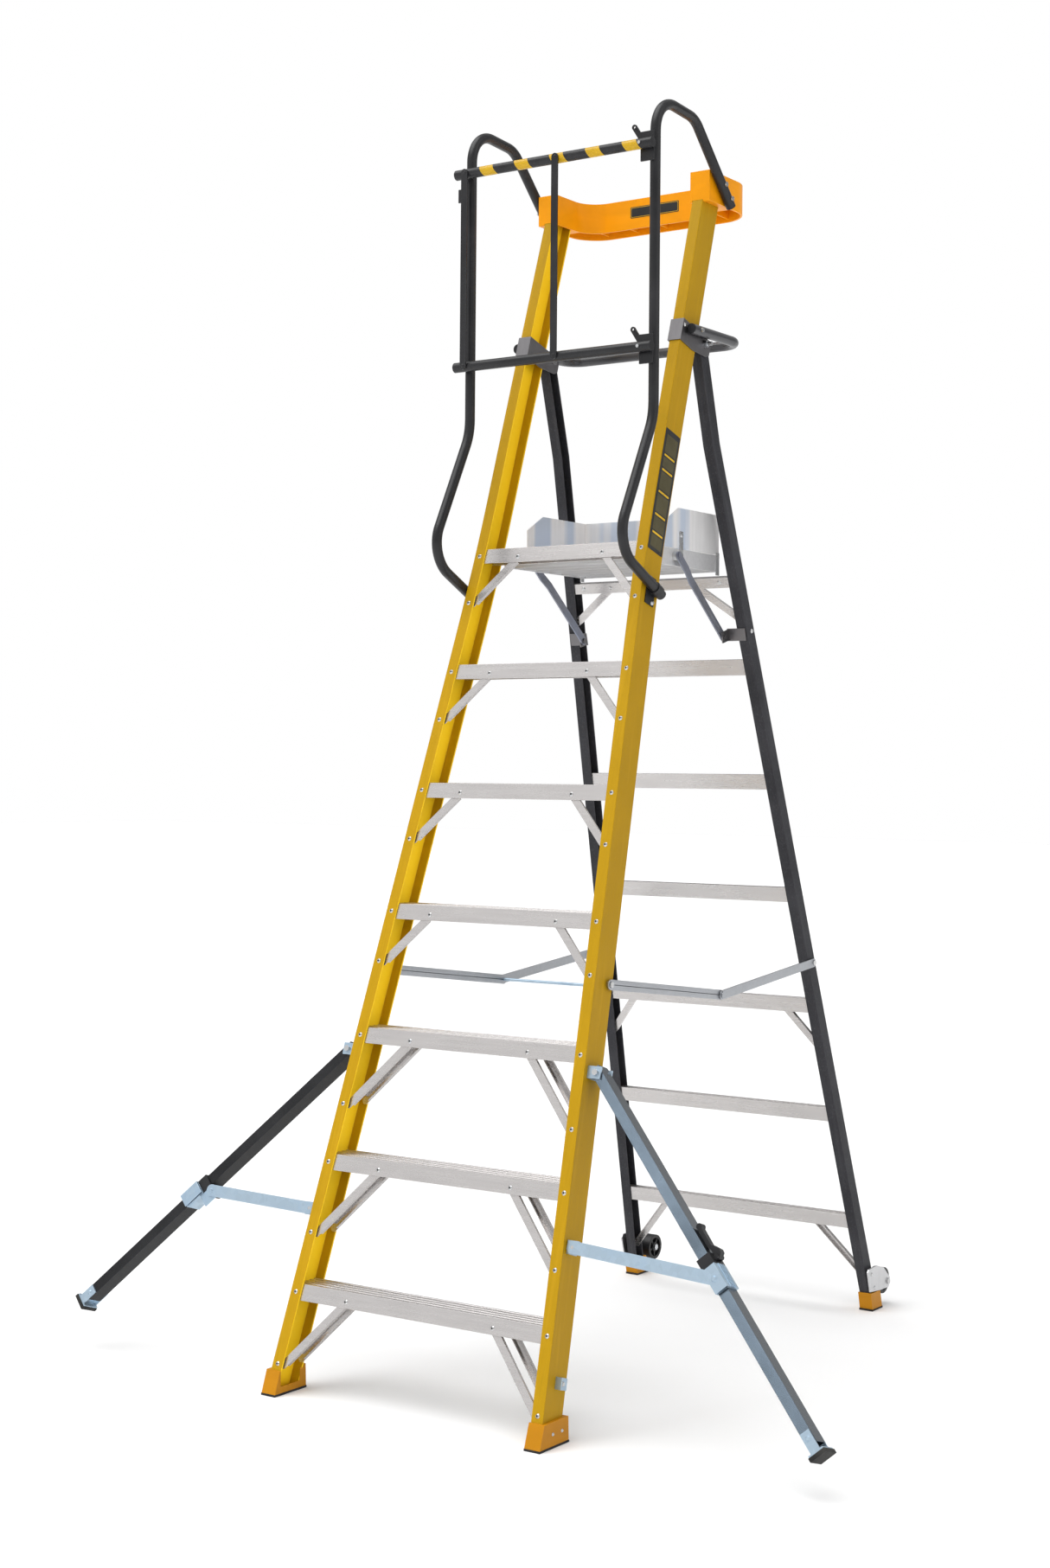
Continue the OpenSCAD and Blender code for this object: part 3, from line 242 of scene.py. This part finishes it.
def extruded(name, tint, along_x=True, gloss=0.20, metal=1.0, painted_reflection=None):
    """Mill-finish aluminium: drawn lines along the profile, cloudy oxide, handling marks, paler
    edges that are a painted highlight and partly bright rubbed metal.
    A sheet can also have wide bands of a second colour, a painted reflection."""
    s = Shader(name)

    def drawn(stretch):
        return s.mapped(scale=(stretch, 1, 1) if along_x else (1, 1, stretch))

    lines = s.noise(drawn(0.02), 900, 3, 0.7)
    bands = s.noise(drawn(0.06), 110, 3, 0.6)
    oxide = s.noise(s.mapped(), 9, 4, 0.6)
    marks = s.noise(s.mapped(), 38, 6, 0.75)
    base = s.mix(s.span(bands, 0.32, 0.68), darker(tint, 0.08), tint)
    base = s.mix(s.span(oxide, 0.45, 0.75, 0, 0.30), base, darker(tint, 0.2))
    base = s.mix(s.span(marks, 0.64, 0.80, 0, 0.15), base, darker(tint, 0.3))
    if painted_reflection:
        # painted reflection: wide bands of a second colour stand in for the reflection on the sheet
        painted_reflection_patches = s.noise(drawn(0.02), 13, 2, 0.4)
        base = s.mix(s.span(painted_reflection_patches, 0.50, 0.60, 0, 0.75), base, painted_reflection)
    # paler edges: a painted highlight, partly bright rubbed metal
    base = s.mix(s.math("MULTIPLY", s.edges(0.0010), 0.6), base, lighter(tint, 0.2))
    s.colour(base)
    dullness = s.math("ADD", bands, s.math("MULTIPLY", oxide, 0.6))
    s.rough(s.span(dullness, 0.4, 1.2, gloss + 0.05, gloss + 0.09))
    s.bump((lines, 0.02, 0.0001))
    return s.set(Metallic=metal)


def galvanised(name, tint, gloss=0.30, metal=0.8):
    """Zinc-plated steel: bluish spangle, dull spots, fine scratches, bright edges that are partly
    rubbed zinc and partly a painted highlight.
    """
    s = Shader(name)
    spangle = s.cells(s.mapped(), 70)
    cloud = s.noise(s.mapped(), 16, 4)
    scratch = s.noise(s.mapped(scale=(1, 1, 0.08)), 500, 3, 0.7)
    bluer = (tint[0] * 0.74, tint[1] * 0.86, tint[2])
    base = s.mix(s.span(spangle, 0, 1, 0.0, 0.35), tint, darker(tint, 0.25))
    base = s.mix(s.span(cloud, 0.5, 0.75, 0, 0.5), base, bluer)
    # bright edges: partly rubbed zinc, partly a painted highlight
    base = s.mix(s.math("MULTIPLY", s.edges(0.0010), 0.5), base, lighter(tint, 0.25))
    s.colour(base)
    dullness = s.math("ADD", cloud, s.math("MULTIPLY", spangle, 0.4))
    s.rough(s.span(dullness, 0.3, 1.0, gloss, gloss + 0.2))
    s.bump((spangle, 0.04, 0.0004), (scratch, 0.14, 0.0002))
    return s.set(Metallic=metal)


def coated(name, tint, gloss=0.28, worn_and_highlight=(0.16, 0.16, 0.17), shine=0.38, speck=0.0, glint=(1, 1, 1)):
    """Powder-coated steel: orange-peel bump, dust, small chips, rubbed edges painted paler, partly
    wear and partly a painted highlight.
    """
    s = Shader(name)
    peel = s.noise(s.mapped(), 620, 3)
    chips = s.noise(s.mapped(scale=(1, 1, 0.6)), 95, 6, 0.75)
    dust = s.noise(s.mapped(), 8, 4)
    base = s.mix(s.span(dust, 0.35, 0.75), tint, lighter(tint, 0.5))
    base = s.mix(s.span(peel, 0.52, 0.70, 0, speck), base, worn_and_highlight)
    base = s.mix(s.span(chips, 0.70, 0.78, 0, 0.5), base, worn_and_highlight)
    # paler edges: partly rubbed coating, partly a painted highlight
    base = s.mix(s.math("MULTIPLY", s.edges(0.0012), 0.35), base, worn_and_highlight)
    s.colour(base)
    s.rough(s.span(dust, 0.3, 0.7, gloss, gloss + 0.14))
    s.bump((peel, 0.14 + speck, 0.0003))
    return s.set(Specular_IOR_Level=shine, Specular_Tint=(*glint, 1))


def striped(name, tint, stripe, first, pitch, count, width, height):
    """A coated tube along X with slanted bands of tape around it; all measures are in metres.
    The first band's middle is at first, and the tube's axis at height."""
    s = Shader(name)
    slant = 0.5  # how far a band shifts along the tube for each metre up
    peel = s.noise(s.mapped(), 700, 3)
    dust = s.noise(s.mapped(), 30, 4)
    x, _, z = s.split(s.coords)
    along = s.math("ADD", x, s.math("MULTIPLY", z, slant))
    start = first - pitch / 2 + slant * height
    phase = s.math("FRACT", s.math("DIVIDE", s.math("SUBTRACT", along, start), pitch))
    off_middle = s.math("ABSOLUTE", s.math("SUBTRACT", phase, 0.5))
    band = s.math("LESS_THAN", off_middle, width / pitch / 2)
    taped = s.math("MULTIPLY", s.math("GREATER_THAN", x, first - pitch / 2),
                   s.math("LESS_THAN", x, first + pitch * (count - 0.5)))
    mask = s.math("MULTIPLY", band, taped)
    black = s.mix(s.span(dust, 0.35, 0.75), tint, lighter(tint, 0.5))
    tape = s.mix(s.span(dust, 0.4, 0.8), stripe, darker(stripe, 0.2))
    s.colour(s.mix(mask, black, tape))
    s.rough(s.span(dust, 0.3, 0.7, 0.28, 0.42))
    s.bump((mask, 0.5, 0.0002), (peel, 0.12, 0.0003))
    return s.set(Specular_IOR_Level=0.38)


def rubbery(name):
    """Moulded rubber: dull, gritty and dusty."""
    s = Shader(name)
    grit = s.noise(s.mapped(), 500, 4, 0.7)
    dust = s.noise(s.mapped(), 20, 4)
    s.colour(s.mix(s.span(dust, 0.4, 0.75), (0.014, 0.014, 0.014), (0.045, 0.043, 0.040)))
    s.rough(s.span(grit, 0.3, 0.7, 0.6, 0.85))
    s.bump((grit, 0.35, 0.0005))
    return s.set(Specular_IOR_Level=0.3)


def sticker(name, ground, line, fibre=160):
    """A plain printed film without any writing: one ground colour, faintly worn and creased."""
    s = Shader(name)
    wear = s.noise(s.mapped(scale=(1, 1, 0.3), rotation=(FRONT_LEAN, 0, 0)), fibre, 5, 0.7)
    cloud = s.noise(s.mapped(), 18, 3)
    base = s.mix(s.span(cloud, 0.3, 0.7), ground, lighter(ground, 0.3))
    s.colour(s.mix(s.span(wear, 0.58, 0.78, 0, 0.5), base, line))
    s.rough(s.span(wear, 0.3, 0.7, 0.25, 0.5))
    s.bump((wear, 0.1, 0.0002))
    return s.set(Specular_IOR_Level=0.4)


# base colours: coating, stiles, yoke, shoes, and the tape and printed yellow
BLACK = (0.0085, 0.0085, 0.0100)
YELLOW = (0.470, 0.266, 0.0015)
ORANGE = (0.93, 0.345, 0.0020)
SHOE = (0.52, 0.215, 0.0020)
TAPE = (0.62, 0.37, 0.004)

# the look of each material slot of the record, and below it of the nodes that differ from theirs
looks = {
    "stile_yellow": stile_yellow("stile_left", 1),
    "rear_grey": pultruded("rear_grey", -REAR_LEAN, (0.026, 0.026, 0.030), (0.046, 0.046, 0.052),
                           0.42, 0.5, 0.6),
    "yoke_yellow": moulded("yoke_yellow", darker(ORANGE, 0.08), ORANGE, 0.30, shine=0.18),
    "aluminium": extruded("aluminium", (0.575, 0.553, 0.545), metal=0.8),
    "bracket_grey": extruded("bracket_grey", (0.19, 0.184, 0.19), along_x=False, gloss=0.34),
    "rail_black": coated("rail_black", BLACK),
    "rubber": rubbery("rubber"),
    "zinc": galvanised("zinc", (0.43, 0.545, 0.65)),
    "plastic_black": moulded("plastic_black", (0.008, 0.008, 0.009), (0.016, 0.016, 0.018),
                             0.36, 0.12),
}
chrome = galvanised("chrome_bolts", (0.62, 0.62, 0.62), gloss=0.16, metal=1.0)
shoe = moulded("shoe_yellow", darker(SHOE, 0.08), SHOE, 0.32, shine=0.2)
special = {
    "right_front_stile": stile_yellow("stile_right", -1),
    "front_shoes": shoe,
    "rear_shoes": shoe,
    "gate_top_rail": striped("rail_stripes", BLACK, TAPE, first=-0.193, pitch=0.104, count=5,
                             width=0.040, height=2.925),
    # a paler copy of the rail black: its paler base colour is a painted reflection of the rail's
    # shine
    "mid_rail": coated("rail_satin_painted_sheen", (0.028, 0.028, 0.032), gloss=0.26, shine=0.6),
    "left_outrigger_leg": coated("leg_left", darker(BLACK, 0.4), gloss=0.36,
                                 worn_and_highlight=(0.09, 0.10, 0.12), shine=0.25, speck=0.22),
    "right_outrigger_leg": coated("leg_right", (0.012, 0.014, 0.017), gloss=0.15, shine=1.0,
                                  glint=(0.72, 0.86, 1.0)),
    "platform_struts": galvanised("strut_steel", (0.26, 0.27, 0.32), gloss=0.34, metal=0.9),
    "spreader_front_arms": extruded("spreader_steel", (0.44, 0.455, 0.48), gloss=0.30),
    "tread_rivets": chrome,
    "frame_bolts": chrome,
    "rear_bolts": chrome,
    "pivot_pins": chrome,
    "deck_fittings": chrome,
    "wheel_plates": extruded("plate_steel", (0.62, 0.62, 0.63), along_x=False, gloss=0.30),
    "platform_deck": extruded("deck_sheet", (0.74, 0.74, 0.75), gloss=0.26, metal=0.5),
    # the toe board's bluish bands are a painted reflection
    "toe_board": extruded("toe_sheet", (0.96, 0.95, 0.95), along_x=False, gloss=0.24, metal=0.35,
                          painted_reflection=(0.50, 0.60, 0.76)),
}
special["spreader_rear_arms"] = special["spreader_front_arms"]

# how far the edges of each kind of part are rounded off, in metres
edge_of = {
    "stile_yellow": 0.0016,
    "rear_grey": 0.0014,
    "yoke_yellow": 0.0016,
    "aluminium": 0.0006,
    "bracket_grey": 0.0006,
    "rail_black": 0.0005,
    "rubber": 0.0008,
    "zinc": 0.0005,
    "plastic_black": 0.0008,
}


def ease_edges(obj, width):
    """Breaks the sharp CAD edges as rolled and moulded ones are, and shades round faces smooth."""
    same_point = 1e-5
    sharp = math.radians(38)
    mesh = obj.data
    if "custom_normal" in mesh.attributes:
        mesh.attributes.remove(mesh.attributes["custom_normal"])
    mesh.shade_smooth()
    weld = obj.modifiers.new("weld", "WELD")
    weld.merge_threshold = same_point
    bevel = obj.modifiers.new("edges", "BEVEL")
    bevel.width = width
    bevel.segments = 2
    bevel.limit_method = "ANGLE"
    bevel.angle_limit = sharp
    bevel.use_clamp_overlap = True
    flat = obj.modifiers.new("flat_faces", "WEIGHTED_NORMAL")
    flat.mode = "FACE_AREA"
    flat.weight = 100


slot_of = {part["node"]: part["material_slot"] for part in frame["record"]["subparts"]}
for name, obj in nodes.items():
    obj.data.materials.clear()
    obj.data.materials.append(special.get(name, looks[slot_of[name]]))
    ease_edges(obj, edge_of[slot_of[name]])


# ---- pieces that only Blender has ----


def new_piece(name, shape, material, body):
    """Turns a bmesh into a piece that rides on a body."""
    bmesh.ops.recalc_face_normals(shape, faces=shape.faces)
    mesh = bpy.data.meshes.new(name)
    shape.to_mesh(mesh)
    shape.free()
    mesh.materials.append(material)
    made = bpy.data.objects.new(name, mesh)
    bpy.context.scene.collection.objects.link(made)
    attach(made, body)


def film(rows, thickness, outward):
    """A thin closed sheet from rows of points; outward is the way that it stands off its ground."""
    shape = bmesh.new()
    under = [[shape.verts.new(p) for p in row] for row in rows]
    over = [[shape.verts.new(Vector(p) + outward * thickness) for p in row] for row in rows]
    for low, high in zip(under, under[1:]):
        for i in range(len(low) - 1):
            shape.faces.new((low[i], high[i], high[i + 1], low[i + 1]))
    for low, high in zip(over, over[1:]):
        for i in range(len(low) - 1):
            shape.faces.new((low[i], low[i + 1], high[i + 1], high[i]))
    join_loops(shape, outline(under), outline(over))
    return shape


def outline(rows):
    """The points around the outside of rows, in order."""
    ends = [row[-1] for row in rows[-2::-1]]
    return [row[0] for row in rows] + rows[-1][1:] + ends + rows[0][-2:0:-1]


def join_loops(shape, loop, other):
    """Faces between two closed loops of as many points."""
    for i in range(len(loop)):
        j = (i + 1) % len(loop)
        shape.faces.new((loop[i], loop[j], other[j], other[i]))


def corner_inset(at, low, high, radius):
    """How far a rounded end pulls its sides in, at this place between low and high."""
    into = radius - min(at - low, high - at, radius)
    return radius - math.sqrt(max(0.0, radius * radius - into * into))


def surface_of(node):
    """A node's mesh, ready for rays to be cast at it."""
    mesh = nodes[node].data
    return BVHTree.FromPolygons([v.co for v in mesh.vertices], [p.vertices for p in mesh.polygons])


def on_web(tree, length, depth, clear):
    """The point clear of the right stile's outside, a length up it and a depth behind its front."""
    y = depth * math.cos(FRONT_LEAN) + length * math.sin(FRONT_LEAN) - Y_MID
    z = length * math.cos(FRONT_LEAN) - depth * math.sin(FRONT_LEAN)
    hit, _, _, _ = tree.ray_cast(Vector((1, y, z)), Vector((-1, 0, 0)))
    return Vector((hit.x + clear, y, z))


def web_film(name, tree, low, high, d_low, d_high, radius, thickness, material, clear):
    """A film with rounded corners on the right stile's outside, following the web.
    It runs from low to high along the stile, and from d_low to d_high behind its front."""
    across, middle_rows, corner_step = 4, 12, 15
    ends = [radius * (1 - math.cos(math.radians(a))) for a in range(0, 91, corner_step)]
    straight = high - low - 2 * radius
    middle = [low + radius + i * straight / middle_rows for i in range(1, middle_rows)]
    lengths = [low + e for e in ends] + middle + [high - e for e in reversed(ends)]
    rows = []
    for length in lengths:
        inset = corner_inset(length, low, high, radius)
        a, b = d_low + inset, d_high - inset
        rows.append([on_web(tree, length, a + (b - a) * i / across, clear)
                     for i in range(across + 1)])
    shape = film(rows, thickness, Vector((1, 0, 0)))
    new_piece(name, shape, material, "front_frame")


def add_side_film():
    """The long dark film on the right stile, without writing: panels between plain yellow bars."""
    tree = surface_of("right_front_stile")
    ground = sticker("film_dark", (0.012, 0.012, 0.012), (0.05, 0.045, 0.03))
    panel = sticker("film_olive", (0.060, 0.050, 0.016), (0.16, 0.11, 0.02), fibre=260)
    bar = sticker("film_bar", TAPE, darker(TAPE, 0.3))
    low, high, d_low, d_high = 2.069, 2.381, 0.004, 0.072
    glued, printed = 0.0002, 0.0006  # how far the film and its print stand off the web
    panel_margin, bar_margin, half_gap, half_bar = 0.008, 0.010, 0.006, 0.0025
    web_film("side_film", tree, low, high, d_low, d_high, 0.003, 0.0003, ground, glued)
    bars = [0.245, 0.207, 0.150, 0.092, 0.046]  # heights above low
    tops = [0.298] + [b - half_gap for b in bars]
    feet = [b + half_gap for b in bars] + [0.010]
    for i, (foot, top) in enumerate(zip(feet, tops)):
        web_film(f"side_film_panel_{i + 1}", tree, low + foot, low + top, d_low + panel_margin,
                 d_high - panel_margin, 0.002, 0.0002, panel, printed)
    for i, b in enumerate(bars):
        web_film(f"side_film_bar_{i + 1}", tree, low + b - half_bar, low + b + half_bar,
                 d_low + bar_margin, d_high - bar_margin, 0.0012, 0.0002, bar, printed)


def add_yoke_plate():
    """A plain dark plate with a thin yellow border where the yoke faces the user."""
    tall, wide, centre_x, centre_z, radius = 0.029, 0.146, 0.004, 2.897, 0.003
    corner_rows = 4
    start, ahead = Vector((centre_x, -1, centre_z)), Vector((0, 1, 0))
    hit, _, _, _ = surface_of("top_yoke").ray_cast(start, ahead)
    grey = (0.04, 0.04, 0.04)
    dark = sticker("plate_dark", (0.010, 0.010, 0.010), grey)
    border = sticker("plate_line", TAPE, darker(TAPE, 0.3))
    inner = sticker("plate_inner", (0.012, 0.012, 0.012), grey)
    # name, how much smaller than the plate all round, how far in front of the yoke, thickness
    layers = (
        ("yoke_plate", 0.0, 0.0001, 0.0005, dark),
        ("yoke_plate_border", 0.0018, 0.0006, 0.0002, border),
        ("yoke_plate_middle", 0.0030, 0.0008, 0.0002, inner),
    )
    for name, margin, off, thickness, material in layers:
        low, high = centre_z - tall / 2 + margin, centre_z + tall / 2 - margin
        steps = [i * radius / corner_rows for i in range(corner_rows + 1)]
        rows = []
        for z in [low + s for s in steps] + [high - s for s in reversed(steps)]:
            half = wide / 2 - margin - corner_inset(z, low, high, radius)
            rows.append([Vector((centre_x + half * t, hit.y - off, z))
                         for t in (-1, -0.5, 0, 0.5, 1)])
        shape = film(rows, thickness, -ahead)
        new_piece(name, shape, material, "front_frame")


def islands(mesh):
    """The separate bodies of a mesh, as lists of points."""
    same_point = 1e-5
    shape = bmesh.new()
    shape.from_mesh(mesh)
    bmesh.ops.remove_doubles(shape, verts=shape.verts, dist=same_point)
    left = set(shape.verts)
    found = []
    while left:
        queue = [left.pop()]
        body = []
        while queue:
            vert = queue.pop()
            body.append(vert.co.copy())
            for edge in vert.link_edges:
                other = edge.other_vert(vert)
                if other in left:
                    left.discard(other)
                    queue.append(other)
        found.append(body)
    shape.free()
    return found


def add_rivet_hollow_shades():
    """A dark dished disc in the middle of each blind rivet on the front flanges and the treads:
    painted shade in place of the shade in the rivet's hollow.
    """
    out = Vector((0, -math.cos(FRONT_LEAN), math.sin(FRONT_LEAN)))
    side = Vector((1, 0, 0))
    up = out.cross(side)
    around, head_flat = 16, 0.0002
    # radius of each ring and how far it stands out from the rivet's head
    profile = ((0.0024, -0.0004), (0.0024, 0.0002), (0.0019, 0.0003), (0.0012, 0.00005))
    turns = [2 * math.pi * i / around for i in range(around)]
    ways = [side * math.cos(turn) + up * math.sin(turn) for turn in turns]
    shape = bmesh.new()
    for body in islands(nodes["tread_rivets"].data):
        reach = max(p.dot(out) for p in body)
        face = [p for p in body if reach - p.dot(out) < head_flat]
        centre = sum(face, Vector()) / len(face)
        rings = [[shape.verts.new(centre + out * height + way * radius) for way in ways]
                 for radius, height in profile]
        for ring, following in zip(rings, rings[1:]):
            join_loops(shape, ring, following)
        shape.faces.new(rings[0])
        shape.faces.new(rings[-1])
    # painted shade: a dark disc stands in for the shade inside each rivet's hollow middle
    hollow_shade = moulded("rivet_hollow_shade", (0.010, 0.010, 0.011), (0.03, 0.03, 0.03), 0.3)
    new_piece("rivet_cores", shape, hollow_shade, "front_frame")


add_side_film()
add_yoke_plate()
add_rivet_hollow_shades()


# ---- camera, light and floor ----


def add_camera():
    """The camera: in front on the right, at eye level, a little rolled."""
    place = (3.0904, -3.9965 - Y_MID, 1.440)
    yaw, pitch, roll = (math.radians(a) for a in (34.618, 0.418, 0.466))
    ahead = Vector((-math.sin(yaw) * math.cos(pitch), math.cos(yaw) * math.cos(pitch),
                    math.sin(pitch)))
    level = Vector((math.cos(yaw), math.sin(yaw), 0))
    rise = level.cross(ahead)
    right = level * math.cos(roll) + rise * math.sin(roll)
    up = rise * math.cos(roll) - level * math.sin(roll)
    data = bpy.data.cameras.new("camera")
    data.sensor_fit = "VERTICAL"
    data.sensor_height = 24
    data.lens = 34.932
    data.shift_y = -0.019
    data.clip_end = 100
    cam = bpy.data.objects.new("camera", data)
    turned = Matrix((right, up, -ahead)).transposed().to_4x4()
    cam.matrix_world = Matrix.Translation(place) @ turned
    bpy.context.scene.collection.objects.link(cam)
    bpy.context.scene.camera = cam


def add_lamp(name, data, place, target, mirrored=True):
    """Aims a lamp; one that isn't mirrored lights things without showing up as a reflection."""
    lamp = bpy.data.objects.new(name, data)
    aim = Vector(target) - Vector(place)
    turned = aim.to_track_quat("-Z", "Y").to_matrix().to_4x4()
    lamp.matrix_world = Matrix.Translation(place) @ turned
    lamp.visible_glossy = mirrored
    bpy.context.scene.collection.objects.link(lamp)


def add_softbox(name, size, power, colour, mirrored):
    """A bluish panel in front on the left, aimed at the lower treads."""
    place, target = (-1.45, -4.6, 2.15), (0.6, -0.6, 0.8)
    data = bpy.data.lights.new(name, "AREA")
    data.shape = "RECTANGLE"
    data.size, data.size_y = size
    data.energy = power
    data.color = colour
    add_lamp(name, data, place, target, mirrored)


def only_on(name, *receivers):
    """Keeps a lamp's light to the named nodes."""
    group = bpy.data.collections.new(name + "_receivers")
    for node in receivers:
        group.objects.link(nodes[node])
    bpy.data.objects[name].light_linking.receiver_collection = group


def add_sky_light(name, place, strength, angle):
    """A distant light from the way of place, so large that its shadows are soft."""
    data = bpy.data.lights.new(name, "SUN")
    data.energy = strength
    data.angle = math.radians(angle)
    add_lamp(name, data, place, (0, 0, 0))


def add_floor():
    """A plain near-white floor, so wide that its far edge melts into the white world."""
    half_width = 40
    mesh = bpy.data.meshes.new("floor")
    shape = bmesh.new()
    bmesh.ops.create_grid(shape, x_segments=1, y_segments=1, size=half_width)
    shape.to_mesh(mesh)
    shape.free()
    floor = bpy.data.objects.new("floor", mesh)
    bpy.context.scene.collection.objects.link(floor)
    s = Shader("floor")
    clouds = s.noise(s.mapped(), 1.5, 2)
    s.colour(s.mix(s.span(clouds, 0.3, 0.7), (0.90, 0.90, 0.90), (0.92, 0.92, 0.92)))
    mesh.materials.append(s.set(Roughness=0.9, Specular_IOR_Level=0.1))


def add_studio():
    """White walls to the camera; in reflections a dim room with soft bright panels around it."""
    panels, dim, bright = 5, 0.28, 0.70
    world = bpy.data.worlds.new("studio")
    world.use_nodes = True
    tree = world.node_tree
    way = tree.nodes.new("ShaderNodeSeparateXYZ")
    tree.links.new(tree.nodes.new("ShaderNodeTexCoord").outputs["Generated"], way.inputs[0])
    around = calc(tree, "ARCTAN2", way.outputs["Y"], way.outputs["X"])
    wave = calc(tree, "SINE", calc(tree, "MULTIPLY", around, panels))
    glow = calc(tree, "MULTIPLY_ADD", wave, (bright - dim) / 2, (bright + dim) / 2)
    seen = tree.nodes.new("ShaderNodeLightPath").outputs["Is Camera Ray"]
    strength = calc(tree, "MAXIMUM", glow, seen)
    background = tree.nodes["Background"]
    background.inputs["Color"].default_value = (1, 1, 1, 1)
    tree.links.new(strength, background.inputs["Strength"])
    bpy.context.scene.world = world


bpy.context.scene.view_settings.view_transform = "Standard"
add_camera()
add_floor()
add_studio()
add_sky_light("overhead", (-0.2, -0.3, 1.0), 2.2, 60)
add_sky_light("front_left", (-0.55, -0.8, 0.5), 0.55, 110)
add_sky_light("right_side", (1.0, 0.1, 0.35), 0.5, 70)
add_softbox("front_box", (1.3, 1.4), 24, (0.92, 0.97, 1.0), mirrored=False)
# the right stabiliser's leg mirrors a panel that nothing else sees
add_softbox("leg_box", (1.5, 1.5), 95, (0.82, 0.92, 1.0), mirrored=True)
only_on("leg_box", "right_outrigger_leg")
# the inside of the left stile's web gets a light of its own
add_sky_light("inner_web", (1.0, -0.15, 0.15), 1.1, 60)
only_on("inner_web", "left_front_stile")
